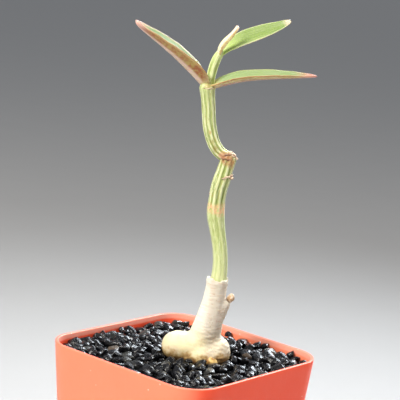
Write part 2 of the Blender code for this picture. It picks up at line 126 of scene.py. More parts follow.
def speckle(tree, where, scale, detail=4.0, rough=0.55, distortion=0.0):
    """Cloudy noise from 0 to 1 at that many cells a metre."""
    made = node(tree, "ShaderNodeTexNoise", {
        "Vector": where, "Scale": scale, "Detail": detail, "Roughness": rough, "Distortion": distortion,
    })
    return made.outputs["Fac"]


def within(tree, value, low, high, to_low=0.0, to_high=1.0):
    """The value read between two limits as another range, held at its ends."""
    made = node(tree, "ShaderNodeMapRange", {
        "Value": value, "From Min": low, "From Max": high, "To Min": to_low, "To Max": to_high,
    }, interpolation_type="SMOOTHSTEP")
    return made.outputs["Result"]


def sums(tree, operation, first, second=0.0):
    made = node(tree, "ShaderNodeMath", {0: first, 1: second}, operation=operation)
    return made.outputs["Value"]


def blended(tree, share, first, second, blend_type="MIX"):
    """The first colour, or as much of the second as the share says."""
    inputs = {"Factor": share}
    made = node(tree, "ShaderNodeMix", inputs, data_type="RGBA", blend_type=blend_type)
    for socket, colour in ((made.inputs[6], first), (made.inputs[7], second)):
        if isinstance(colour, bpy.types.NodeSocket):
            tree.links.new(colour, socket)
        else:
            socket.default_value = (*colour, 1.0)
    return made.outputs[2]


def relief(tree, height, depth, strength=1.0, under=None):
    """The normal of a surface raised by a height from 0 to 1 times that depth in metres."""
    inputs = {"Height": height, "Distance": depth, "Strength": strength}
    if under is not None:
        inputs["Normal"] = under
    return node(tree, "ShaderNodeBump", inputs).outputs["Normal"]


def object_place(tree):
    return node(tree, "ShaderNodeTexCoord").outputs["Object"]


camera = place("camera", bpy.data.cameras.new("camera"))
camera.data.lens = camera_lens
camera.data.clip_start = 10 * mm
camera.matrix_world = seen_from(camera_bearing, camera_rise, camera_distance, camera_roll)
bpy.context.scene.camera = camera

for lamp_name, (bearing, rise, distance, width, power, spread, colour) in lamps.items():
    lamp = place(lamp_name, bpy.data.lights.new(lamp_name, "AREA"))
    lamp.data.size = width
    lamp.data.energy = power
    lamp.data.spread = math.radians(spread)
    lamp.data.color = colour
    lamp.matrix_world = seen_from(bearing, rise, distance)

sky = bpy.data.worlds.new("studio")
bpy.context.scene.world = sky
sky.use_nodes = True
sky.node_tree.nodes["Background"].inputs["Color"].default_value = (*sky_grey, 1.0)
sky.node_tree.nodes["Background"].inputs["Strength"].default_value = sky_strength
bpy.context.scene.view_settings.view_transform = "Standard"

floor_mesh = bpy.data.meshes.new("floor")
half_floor = floor_span / 2
corners = [(-half_floor, -half_floor), (half_floor, -half_floor), (half_floor, half_floor), (-half_floor, half_floor)]
floor_mesh.from_pydata([(x, y, 0.0) for x, y in corners], [], [(0, 1, 2, 3)])
floor = place("floor", floor_mesh)
floor_finish, tree, shader = finish("pale_floor")
cloud = speckle(tree, object_place(tree), 30.0)
paler = tuple(channel * 1.04 for channel in floor_grey)
tree.links.new(blended(tree, cloud, floor_grey, paler), shader.inputs["Base Color"])
shader.inputs["Roughness"].default_value = 0.75
floor.data.materials.append(floor_finish)


# The pot. A thin square nursery pot of orange-red plastic, moulded in one piece: its sides taper to
# a flat floor with five drain holes, its corners are rounded, and its rim is a thicker round lip.

pot_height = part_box("pot")[1][2]
rim_side = 64.0 * mm
base_side = 53.2 * mm
rim_corner = 10.4 * mm
base_corner = 7.5 * mm
pot_wall = 1.1 * mm
pot_floor = 1.6 * mm
lip_width = 1.12 * mm
lip_depth = 2.6 * mm
lip_round = 0.34 * mm
foot_round = 0.9 * mm
drain_radius = 3.0 * mm
drain_reach = 16.5 * mm
pot_bow = 0.10 * mm
corner_steps = 14
side_steps = 16
wall_steps = 22


def along(start, end, count, include_end=True):
    """Evenly spaced values or points from start to end."""
    last = count if include_end else count - 1
    return [start + (end - start) * k / count for k in range(last + 1)]


def pot_outline(z, inset):
    """The pot's outline at a height, as points anticlockwise from above, moved in from its outside."""
    share = min(max(z / pot_height, 0.0), 1.0)
    half = (base_side + (rim_side - base_side) * share) / 2 - inset
    corner = max(base_corner + (rim_corner - base_corner) * share - inset, 0.2 * mm)
    straight = half - corner
    ring = []
    for quarter in range(4):
        turn = Matrix.Rotation(quarter * math.pi / 2, 3, "Z")
        for k in range(corner_steps):
            angle = k / corner_steps * math.pi / 2
            ring.append(turn @ Vector((straight + corner * math.cos(angle), straight + corner * math.sin(angle), z)))
        for x in along(straight, -straight, side_steps, include_end=False):
            # Each long side bows out very slightly between its stiff corners
            bow = pot_bow * (1 - (x / straight) ** 2) * math.sin(math.pi * min(share, 0.97))
            ring.append(turn @ Vector((x, half + bow, z)))
    return ring


def arc(centre, radius, start, end, count):
    """Points (z, inset) round part of a circle, with angles in degrees from the pot's outside."""
    angles = [math.radians(angle) for angle in along(start, end, count)]
    return [(centre[0] + radius * math.sin(a), centre[1] - radius * math.cos(a)) for a in angles]


def skin(rings, name):
    """A closed mesh over rings of points, with a flat face at each end."""
    bm = bmesh.new()
    loops = [[bm.verts.new(point) for point in ring] for ring in rings]
    for near, far in zip(loops, loops[1:]):
        for i in range(len(near)):
            j = (i + 1) % len(near)
            bm.faces.new((near[i], near[j], far[j], far[i]))
    bm.faces.new(loops[0])
    bm.faces.new(loops[-1])
    bmesh.ops.recalc_face_normals(bm, faces=bm.faces)
    mesh = bpy.data.meshes.new(name)
    bm.to_mesh(mesh)
    bm.free()
    mesh.shade_smooth()
    return mesh


def cut(obj, cutters):
    """Cuts the other objects out of obj for good, and removes them."""
    for cutter in cutters:
        boolean = obj.modifiers.new("cut", "BOOLEAN")
        boolean.object = cutter
        boolean.operation = "DIFFERENCE"
    graph = bpy.context.evaluated_depsgraph_get()
    mesh = bpy.data.meshes.new_from_object(obj.evaluated_get(graph))
    obj.modifiers.clear()
    obj.data = mesh
    for cutter in cutters:
        bpy.data.objects.remove(cutter)


profile = arc((foot_round, foot_round), foot_round, -90, 0, 5)
profile += [(z, 0.0) for z in along(foot_round, pot_height - lip_round, wall_steps)[1:-1]]
profile += arc((pot_height - lip_round, lip_round), lip_round, 0, 90, 5)
profile += arc((pot_height - lip_round, lip_width - lip_round), lip_round, 90, 180, 5)
profile += [(pot_height - lip_depth, lip_width), (pot_height - lip_depth - lip_width, pot_wall)]
profile += [(z, pot_wall) for z in along(pot_height - 2 * lip_depth, pot_floor + pot_wall, 6)]
profile += [(pot_floor + pot_wall * 0.3, 1.3 * pot_wall), (pot_floor, 2 * pot_wall)]
pot = place("nursery_pot", skin([pot_outline(z, inset) for z, inset in profile], "nursery_pot"))
drills = []
for x, y in ((0, 0), (1, 1), (-1, 1), (-1, -1), (1, -1)):
    drill = bmesh.new()
    bmesh.ops.create_cone(drill, cap_ends=True, segments=32, radius1=drain_radius, radius2=drain_radius, depth=4 * pot_floor)
    bmesh.ops.translate(drill, vec=(x * drain_reach, y * drain_reach, 0), verts=drill.verts)
    drill_mesh = bpy.data.meshes.new("drill")
    drill.to_mesh(drill_mesh)
    drill.free()
    drills.append(place("drill", drill_mesh))
cut(pot, drills)
pot.data.set_sharp_from_angle(angle=math.radians(50))

plastic, tree, shader = finish("terracotta_plastic")
where = object_place(tree)
cloud = speckle(tree, where, 45.0, detail=3.0)
colour = blended(tree, cloud, (0.90, 0.070, 0.018), (0.94, 0.100, 0.036))
# The faces that look towards −Y, the outer face on the left and the inner face of the back-right wall, are painted
# paler: a painted sheen of the lamp's light on them
outward = node(tree, "ShaderNodeTexCoord").outputs["Normal"]
facing = node(tree, "ShaderNodeSeparateXYZ", {"Vector": outward}).outputs
spot = node(tree, "ShaderNodeSeparateXYZ", {"Vector": where}).outputs
lit_facing = within(tree, facing["Y"], -0.95, -0.35, 1.0, 0.0)
painted_sheen = sums(tree, "MULTIPLY", lit_facing, within(tree, sums(tree, "ABSOLUTE", spot["Y"]), 16 * mm, 24 * mm))
painted_sheen_tone = blended(tree, cloud, (0.92, 0.22, 0.115), (0.95, 0.27, 0.145))
colour = blended(tree, painted_sheen, colour, painted_sheen_tone)
# The lip's top and its inner edge are painted paler too: a painted highlight of the light along the lip
level = node(tree, "ShaderNodeVectorMath", {0: where, 1: (1.0, 1.0, 0.0)}, operation="MULTIPLY")
away = node(tree, "ShaderNodeVectorMath", {
    0: level.outputs["Vector"], 1: outward,
}, operation="DOT_PRODUCT").outputs["Value"]
inner_side = within(tree, away, -16 * mm, -4 * mm, 1.0, 0.0)
lip_side = sums(tree, "MAXIMUM", inner_side, within(tree, facing["Z"], 0.15, 0.7, 0.0, 0.5))
painted_lip_highlight = sums(tree, "MULTIPLY", lip_side, within(tree, spot["Z"], pot_height - 2.0 * mm, pot_height - 1.2 * mm))
colour = blended(tree, sums(tree, "MULTIPLY", painted_lip_highlight, 0.75), colour, (0.94, 0.40, 0.30))
# Pale scuffs, thin vertical draw marks, and fine pale grit splashed on by watering
drawn = node(tree, "ShaderNodeMapping", {"Vector": where, "Scale": (1.0, 1.0, 0.06)}).outputs["Vector"]
marks = speckle(tree, drawn, 900.0, detail=3.0, rough=0.7)
colour = blended(tree, within(tree, marks, 0.58, 0.80, 0.0, 0.20), colour, (0.90, 0.30, 0.19))
scuff = speckle(tree, where, 260.0, detail=8.0, rough=0.75, distortion=0.6)
colour = blended(tree, within(tree, scuff, 0.62, 0.74, 0.0, 0.30), colour, (0.92, 0.42, 0.30))
dots = node(tree, "ShaderNodeTexVoronoi", {"Vector": where, "Scale": 420.0, "Randomness": 1.0})
chance = node(tree, "ShaderNodeSeparateColor", {"Color": dots.outputs["Color"]}).outputs["Red"]
near_dot = within(tree, dots.outputs["Distance"], 0.06, 0.13, 1.0, 0.0)
dot = sums(tree, "MULTIPLY", near_dot, within(tree, chance, 0.68, 0.70))
colour = blended(tree, sums(tree, "MULTIPLY", dot, 0.7), colour, (0.93, 0.72, 0.58))
tree.links.new(colour, shader.inputs["Base Color"])
tree.links.new(within(tree, scuff, 0.35, 0.75, 0.34, 0.52), shader.inputs["Roughness"])
peel = relief(tree, speckle(tree, where, 1500.0, detail=2.0), 0.02 * mm)
tree.links.new(relief(tree, marks, 0.03 * mm, under=peel), shader.inputs["Normal"])
shader.inputs["Subsurface Weight"].default_value = 0.12
shader.inputs["Subsurface Radius"].default_value = (1.0, 0.35, 0.2)
shader.inputs["Subsurface Scale"].default_value = 0.8 * mm
shader.inputs["Specular IOR Level"].default_value = 0.4
pot.data.materials.append(plastic)
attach(pot, "root")
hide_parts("pot")


# The potting mix. Damp, dark and bark-based, it fills the pot under the gravel and only shows through
# the drain holes, so its solid stays as it is and takes a crumbly finish.

mix_finish, tree, shader = finish("damp_mix")
where = object_place(tree)
crumbs = node(tree, "ShaderNodeTexVoronoi", {"Vector": where, "Scale": 700.0})
colour = blended(tree, speckle(tree, where, 300.0), (0.020, 0.012, 0.008), (0.085, 0.050, 0.030))
flecks = within(tree, speckle(tree, where, 1400.0), 0.66, 0.70)
tree.links.new(blended(tree, flecks, colour, (0.22, 0.17, 0.12)), shader.inputs["Base Color"])
shader.inputs["Roughness"].default_value = 0.85
tree.links.new(relief(tree, crumbs.outputs["Distance"], 0.5 * mm), shader.inputs["Normal"])
mix_mesh = frame["nodes"]["potting_mix"].data
mix_mesh.materials.clear()
mix_mesh.materials.append(mix_finish)


# The caudex and the woody stem. One grown piece: a swollen foot of two main lobes that sits on the
# gravel, a pale shaft with fine cross wrinkles and a torn collar of bark, and a taproot below.

# The plant is laid out in its own frame: across to the right of the view, back away from it
plant_turn = Matrix.Rotation(math.radians(40), 3, "Z")
# The shaft and taproot as (height, across, back, radius), top down
shaft = np.array((
    (83.4, 8.0, 1.0, 3.30), (82.3, 8.0, 1.0, 3.45), (80.5, 7.9, 1.0, 3.25), (77.5, 7.6, 1.0, 3.35),
    (74.5, 7.3, 1.1, 3.65), (72.0, 6.9, 1.2, 4.00), (69.5, 6.6, 1.3, 4.35), (66.5, 6.1, 1.5, 4.70),
    (63.5, 5.6, 1.6, 4.90), (60.0, 5.2, 1.6, 5.00), (57.0, 5.0, 1.6, 4.60), (54.5, 5.0, 1.6, 3.40),
    (50.0, 5.0, 1.6, 2.80), (40.0, 5.0, 1.6, 1.90), (30.2, 5.0, 1.6, 0.90),
)) * mm
# Lobes of the foot: centre (across, back, height) and half sizes
lobes = (
    ((-2.5, 0.8, 60.2), (5.1, 4.9, 4.8)),
    ((1.7, 0.8, 60.0), (5.0, 4.9, 4.9)),
    ((10.4, 0.6, 59.6), (4.0, 4.2, 4.4)),
    ((5.6, 4.4, 58.9), (4.4, 4.2, 4.4)),
    ((6.6, -1.9, 58.4), (4.6, 3.3, 3.4)),
    ((3.6, -1.6, 57.6), (4.0, 3.4, 2.9)),
    ((10.1, 0.9, 72.6), (1.6, 1.6, 2.3)), ((10.9, 0.85, 74.4), (1.35, 1.3, 1.5)), ((11.4, 0.8, 75.5), (1.0, 1.0, 1.0)),
)
lobe_melt = 1.5 * mm
caudex_sides = 176
caudex_rows = 300
deepest_root = 30.2 * mm
collar_top = 83.4 * mm


def smallest(first, second, melt):
    """The lesser of two distances, rounded off where they meet."""
    share = np.clip(0.5 + 0.5 * (second - first) / melt, 0.0, 1.0)
    return second + (first - second) * share - melt * share * (1 - share)


def from_caudex(across, back, height):
    """Roughly how far outside the caudex's surface a place of the plant's frame is."""
    rows = shaft[::-1]
    middle_across = np.interp(height, rows[:, 0], rows[:, 1])
    middle_back = np.interp(height, rows[:, 0], rows[:, 2])
    radius = np.interp(height, rows[:, 0], rows[:, 3])
    away = np.hypot(across - middle_across, back - middle_back) - radius
    for centre, half in lobes:
        centre, half = np.array(centre) * mm, np.array(half) * mm
        offsets = [(value - c) / h for value, c, h in zip((across, back, height), centre, half)]
        length = np.sqrt(sum(offset ** 2 for offset in offsets))
        away = smallest(away, (length - 1) * half.min(), lobe_melt)
    return away


def caudex_surface():
    """Rows of points over the caudex, from its collar to its root, evenly spaced down each side."""
    heights = np.linspace(collar_top, deepest_root, 900)
    rows = shaft[::-1]
    middle_across = np.interp(heights, rows[:, 0], rows[:, 1])
    middle_back = np.interp(heights, rows[:, 0], rows[:, 2])
    reach = np.linspace(0.0, 14 * mm, 120)
    sides = []
    for bearing in np.linspace(0, 2 * math.pi, caudex_sides, endpoint=False):
        across = middle_across[:, None] + reach[None, :] * math.cos(bearing)
        back = middle_back[:, None] + reach[None, :] * math.sin(bearing)
        away = from_caudex(across, back, heights[:, None] + 0 * across)
        inside = away < 0
        last = reach.size - 1 - np.argmax(inside[:, ::-1], axis=1)
        last = np.clip(last, 0, reach.size - 2)
        pick = np.arange(heights.size)
        low, high = away[pick, last], away[pick, last + 1]
        radius = reach[last] + (reach[1] - reach[0]) * np.clip(-low / (high - low), 0, 1)
        points = np.stack([
            middle_across + radius * math.cos(bearing), middle_back + radius * math.sin(bearing), heights,
        ], axis=1)
        steps = np.linalg.norm(np.diff(points, axis=0), axis=1)
        run = np.concatenate([[0.0], np.cumsum(steps)])
        even = np.linspace(0.0, run[-1], caudex_rows)
        sides.append(np.stack([np.interp(even, run, points[:, axis]) for axis in range(3)], axis=1))
    return np.stack(sides, axis=1)


def ripple(point, stretch, seed):
    """Smooth noise from about -1 to 1, with its cells a metre given along each axis."""
    return noise.noise(Vector([p * s for p, s in zip(point, stretch)]) + Vector((seed, 0.3 * seed, 0.7 * seed)))


def bark_height(point):
    """How far bark stands out or in at a point of the plant's frame, in metres."""
    height = point[2]
    on_shaft = min(max((height - 64 * mm) / (6 * mm), 0.0), 1.0)
    on_foot = 1 - on_shaft
    # The right-hand half of the foot is older and rougher than the left-hand lobe
    aged = min(max((point[0] - 2.5 * mm) / (5 * mm), 0.15), 1.0)
    wrinkles = ripple(point, (160, 160, 1500), 3.1) + 0.5 * ripple(point, (420, 420, 3100), 8.4)
    folds = ripple(point, (430, 430, 90), 5.7)
    lumps = ripple(point, (260, 260, 300), 1.9)
    grain = ripple(point, (1500, 1500, 1500), 2.3) + 0.5 * ripple(point, (3300, 3300, 3300), 6.6)
    rise = 0.07 * mm * wrinkles * (0.25 + 0.75 * on_shaft)
    rise += 0.14 * mm * folds * (0.4 + 0.6 * on_shaft)
    rise += 0.26 * mm * lumps * on_foot
    rise += 0.20 * mm * aged * on_foot * ripple(point, (700, 700, 1300), 4.4)
    rise += 0.04 * mm * grain
    # Corky pores stand out a little, most of them on the older part
    closest = noise.voronoi(Vector(point) * 760)[0][0]
    rise += 0.06 * mm * max(0.0, 1 - closest / 0.24) * aged
    return rise


def caudex_mesh():
    surface = caudex_surface()
    # The collar of bark is torn: its edge rises and falls round the stem
    for k in range(caudex_sides):
        bearing = 2 * math.pi * k / caudex_sides
        torn = 0.30 * math.sin(2 * bearing + 0.6) + 0.22 * math.sin(5 * bearing) + 0.12 * math.sin(11 * bearing)
        for row in range(16):
            surface[row, k, 2] += (torn - 0.35) * mm * (1 - row / 16) ** 2
    rows, sides, _ = surface.shape
    bumped = surface.copy()
    gradient = np.stack([
        (from_caudex(*(surface + step).transpose(2, 0, 1)) - from_caudex(*(surface - step).transpose(2, 0, 1)))
        for step in np.eye(3) * 0.05 * mm
    ], axis=2)
    outward = gradient / np.maximum(np.linalg.norm(gradient, axis=2, keepdims=True), 1e-12)
    for row in range(rows):
        for side in range(sides):
            bumped[row, side] += outward[row, side] * bark_height(surface[row, side])
    # Over the collar's edge the skin turns inwards and down beside the green stem
    middle = np.array([shaft[0][1], shaft[0][2], 0.0])
    inner = []
    for share, drop in ((0.93, -0.10), (0.84, -0.06), (0.78, 0.15), (0.76, 0.9), (0.70, 1.8)):
        ring = middle + (bumped[0] - middle) * np.array([share, share, 1.0]) - np.array([0, 0, drop * mm])
        inner.append(ring)
    return [list(ring) for ring in inner[::-1]] + [list(ring) for ring in bumped]


def planted(rings):
    """Rings of the plant's frame, turned to stand in the pot."""
    return [[plant_turn @ Vector(point) for point in ring] for ring in rings]


caudex = place("caudex_skin", skin(planted(caudex_mesh()), "caudex_skin"))

bark, tree, shader = finish("pale_bark")
where = object_place(tree)
height = node(tree, "ShaderNodeSeparateXYZ", {"Vector": where}).outputs["Z"]
cloud = speckle(tree, where, 150.0, detail=5.0)
foot_tone = blended(tree, cloud, (0.76, 0.65, 0.34), (0.86, 0.79, 0.53))
shaft_tone = blended(tree, cloud, (0.81, 0.74, 0.60), (0.91, 0.88, 0.79))
colour = blended(tree, within(tree, height, 62 * mm, 70 * mm), foot_tone, shaft_tone)
# The older right-hand side is greyer, and runs up the shaft as a tan, wrinkled strip
across_way = tuple(plant_turn @ Vector((1, 0, 0)))
across = node(tree, "ShaderNodeVectorMath", {0: where, 1: across_way}, operation="DOT_PRODUCT").outputs["Value"]
aged = within(tree, sums(tree, "ADD", across, sums(tree, "MULTIPLY", cloud, 3.0 * mm)), 5.5 * mm, 9.0 * mm)
colour = blended(tree, sums(tree, "MULTIPLY", aged, 0.75), colour, (0.66, 0.59, 0.47))
# Fine tan cross wrinkles, a pinkish bloom, tan pores, and an orange stain where it meets the gravel, which turns near
# black right at the gravel line, partly as painted contact shade
flat = node(tree, "ShaderNodeMapping", {"Vector": where, "Scale": (1.0, 1.0, 6.0)}).outputs["Vector"]
wrinkle = speckle(tree, flat, 260.0, detail=6.0, rough=0.65)
blotch = speckle(tree, where, 620.0, detail=6.0, rough=0.65)
on_shaft = within(tree, height, 63 * mm, 68 * mm)
uneven = blended(tree, on_shaft, blotch, wrinkle)
wrinkled = within(tree, uneven, 0.52, 0.70, 0.0, 0.8)
wrinkled = sums(tree, "MULTIPLY", wrinkled, sums(tree, "ADD", sums(tree, "MULTIPLY", aged, 0.7), 0.3))
colour = blended(tree, wrinkled, colour, (0.56, 0.36, 0.19))
bloom = speckle(tree, where, 90.0, detail=2.0)
colour = blended(tree, within(tree, bloom, 0.50, 0.72, 0.0, 0.35), colour, (0.83, 0.62, 0.50))
pores = node(tree, "ShaderNodeTexVoronoi", {"Vector": where, "Scale": 1500.0})
pore = within(tree, pores.outputs["Distance"], 0.12, 0.34, 0.85, 0.0)
pore = sums(tree, "MULTIPLY", pore, within(tree, speckle(tree, where, 380.0), 0.44, 0.54))
pore = sums(tree, "MULTIPLY", pore, sums(tree, "MAXIMUM", sums(tree, "MULTIPLY", aged, 0.8), 0.08))
colour = blended(tree, pore, colour, (0.42, 0.27, 0.12))
stain_and_shade_noise = speckle(tree, where, 420.0, detail=7.0, rough=0.65)
edge = sums(tree, "ADD", height, sums(tree, "MULTIPLY", stain_and_shade_noise, 9.0 * mm))
colour = blended(tree, within(tree, edge, 62.7 * mm, 65.4 * mm, 0.8, 0.0), colour, (0.52, 0.31, 0.08))
# The near-black band low on the foot is partly soil stain and partly painted contact shade under the lobes
colour = blended(tree, within(tree, edge, 61.5 * mm, 63.7 * mm, 0.92, 0.0), colour, (0.18, 0.08, 0.024))
tree.links.new(colour, shader.inputs["Base Color"])
tree.links.new(within(tree, uneven, 0.3, 0.7, 0.50, 0.68), shader.inputs["Roughness"])
tree.links.new(relief(tree, uneven, 0.12 * mm), shader.inputs["Normal"])
shader.inputs["Subsurface Weight"].default_value = 0.15
shader.inputs["Subsurface Radius"].default_value = (1.0, 0.7, 0.4)
shader.inputs["Subsurface Scale"].default_value = 1.0 * mm
caudex.data.materials.append(bark)
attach(caudex, "root")
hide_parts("caudex")


# The twig stub and the rootlet. A side twig that dried and broke off short, leaving a tan bead in a
# brown socket, and a young root that leaves the front of the foot and goes down between the stones.

# Each as (across, back, height, radius), from where it grows out to its end
twig_route = (
    (10.7, 0.9, 74.4, 1.10), (11.4, 0.8, 75.3, 0.98), (11.8, 0.75, 75.9, 0.86), (12.1, 0.7, 76.4, 0.95),
    (12.5, 0.6, 77.0, 1.16), (12.75, 0.6, 77.7, 1.08), (12.75, 0.6, 78.3, 0.78), (12.7, 0.6, 78.7, 0.32),
)
rootlet_route = (
    (5.4, -2.6, 58.9, 1.60), (7.2, -3.8, 58.2, 1.60), (8.6, -4.5, 57.6, 1.45), (9.4, -4.9, 57.0, 1.15),
    (9.9, -5.1, 56.4, 0.80), (10.1, -5.2, 55.9, 0.42),
)


def curve_through(points, per_span):
    """Points of a Catmull-Rom curve through the given ones, each of any dimension."""
    points = np.array(points, dtype=float)
    ends = np.vstack([2 * points[0] - points[1], points, 2 * points[-1] - points[-2]])
    route = []
    for p0, p1, p2, p3 in zip(ends, ends[1:], ends[2:], ends[3:]):
        for t in np.linspace(0, 1, per_span, endpoint=False):
            bend = (2 * p0 - 5 * p1 + 4 * p2 - p3) * t ** 2 + (3 * p1 - p0 - 3 * p2 + p3) * t ** 3
            route.append(0.5 * (2 * p1 + (p2 - p0) * t + bend))
    route.append(points[-1])
    return np.array(route)


def tube(route, sides, roughness=0.0, cells=900, seed=0.0):
    """Rings round a route of (across, back, height, radius) in millimetres, roughened by noise."""
    route = np.array(route) * mm
    centres = route[:, :3]
    ahead = np.gradient(centres, axis=0)
    side = np.array([0.0, 1.0, 0.0])
    rings = []
    for centre, axis, radius in zip(centres, ahead, route[:, 3]):
        axis = axis / np.linalg.norm(axis)
        side = side - axis * side.dot(axis)
        side = side / np.linalg.norm(side)
        over = np.cross(axis, side)
        ring = []
        for angle in np.linspace(0, 2 * math.pi, sides, endpoint=False):
            out = math.cos(angle) * side + math.sin(angle) * over
            point = centre + radius * out
            ring.append(point + out * radius * roughness * ripple(point, (cells,) * 3, seed))
        rings.append(ring)
    return rings


dry_twig, tree, shader = finish("dry_twig")
where = object_place(tree)
cloud = speckle(tree, where, 900.0, detail=5.0)
colour = blended(tree, within(tree, cloud, 0.35, 0.65), (0.46, 0.28, 0.14), (0.88, 0.72, 0.54))
socket = node(tree, "ShaderNodeVectorMath", {
    0: where, 1: tuple(plant_turn @ Vector((11.4, 0.3, 76.1)) * mm),
}, operation="DISTANCE").outputs["Value"]
colour = blended(tree, within(tree, socket, 0.7 * mm, 1.5 * mm, 0.9, 0.0), colour, (0.13, 0.06, 0.025))
tree.links.new(colour, shader.inputs["Base Color"])
shader.inputs["Roughness"].default_value = 0.7
tree.links.new(relief(tree, cloud, 0.12 * mm), shader.inputs["Normal"])

root_skin, tree, shader = finish("young_root")
where = object_place(tree)
cloud = speckle(tree, where, 700.0, detail=4.0)
stained = within(tree, cloud, 0.38, 0.62)
tree.links.new(blended(tree, stained, (0.36, 0.16, 0.04), (0.78, 0.54, 0.19)), shader.inputs["Base Color"])
shader.inputs["Roughness"].default_value = 0.5
tree.links.new(relief(tree, cloud, 0.10 * mm), shader.inputs["Normal"])

for name, route, skin_finish in (("twig_stub", twig_route, dry_twig), ("rootlet", rootlet_route, root_skin)):
    piece = place(name, skin(planted(tube(curve_through(route, 8), 36, roughness=0.2, cells=1100, seed=4.0)), name))
    piece.data.materials.append(skin_finish)
    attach(piece, "root")


# The green stem. One grown piece in two growths, its waxy skin raised in lengthwise ribs: the lower
# growth stands in the collar of bark and ends in a dried tip, and the upper one springs from its side.

# Each growth as (across, back, height, radius, how strong its ribs are)
lower_growth = (
    (8.30, 1.0, 81.0, 2.25, 0.3), (8.40, 1.0, 83.6, 2.42, 0.4),
    (8.45, 1.0, 86.2, 2.36, 0.5), (8.25, 1.0, 89.2, 2.30, 0.45),
    (7.85, 1.1, 92.4, 2.30, 0.4), (7.20, 1.3, 95.4, 2.32, 0.35),
    (6.45, 1.5, 98.6, 2.45, 0.35), (5.75, 1.6, 101.6, 2.70, 0.35),
    (5.40, 1.6, 104.2, 2.76, 0.35), (5.40, 1.5, 106.0, 2.66, 0.8),
    (5.45, 1.4, 108.4, 2.50, 1.1), (5.70, 1.2, 111.4, 2.55, 1.1),
    (6.30, 1.0, 114.2, 2.66, 0.8), (6.85, 0.8, 116.8, 2.44, 0.9),
    (7.35, 0.7, 119.2, 2.40, 0.9), (7.80, 0.6, 121.2, 2.40, 0.7),
    (8.15, 0.5, 122.4, 1.90, 0.3), (8.40, 0.5, 123.1, 1.00, 0.1), (8.50, 0.5, 123.3, 0.30, 0.0),
)
upper_growth = (
    (8.60, 0.5, 121.3, 0.90, 0.1), (7.80, 0.6, 121.4, 1.60, 0.4),
    (6.40, 0.8, 121.9, 1.88, 0.9), (5.00, 1.0, 122.7, 1.92, 1.1),
    (3.75, 1.1, 124.0, 1.94, 1.1), (2.70, 1.3, 125.6, 1.96, 1.1),
    (1.85, 1.4, 127.7, 2.02, 1.0), (1.05, 1.5, 130.5, 2.06, 0.8),
    (0.45, 1.4, 134.0, 2.08, 0.7), (0.02, 1.2, 137.4, 2.12, 0.7),
    (-0.40, 1.0, 140.2, 2.20, 0.6), (-0.70, 0.9, 142.0, 2.42, 0.4),
    (-0.75, 0.9, 143.0, 2.20, 0.3), (-0.70, 0.9, 143.6, 1.50, 0.1),
    (-0.60, 0.9, 143.9, 0.50, 0.0),
)
stem_ribs = 9
rib_height = 0.15
rib_twist = 60.0
stem_sides = 108
stem_step_mm = 0.32


def value_of(tree, name):
    return node(tree, "GeometryNodeInputNamedAttribute", {"Name": name}, data_type="FLOAT").outputs["Attribute"]


def input_named(tree, name, kind, default=None):
    socket = tree.interface.new_socket(name, in_out="INPUT", socket_type=kind)
    if default is not None:
        socket.default_value = default


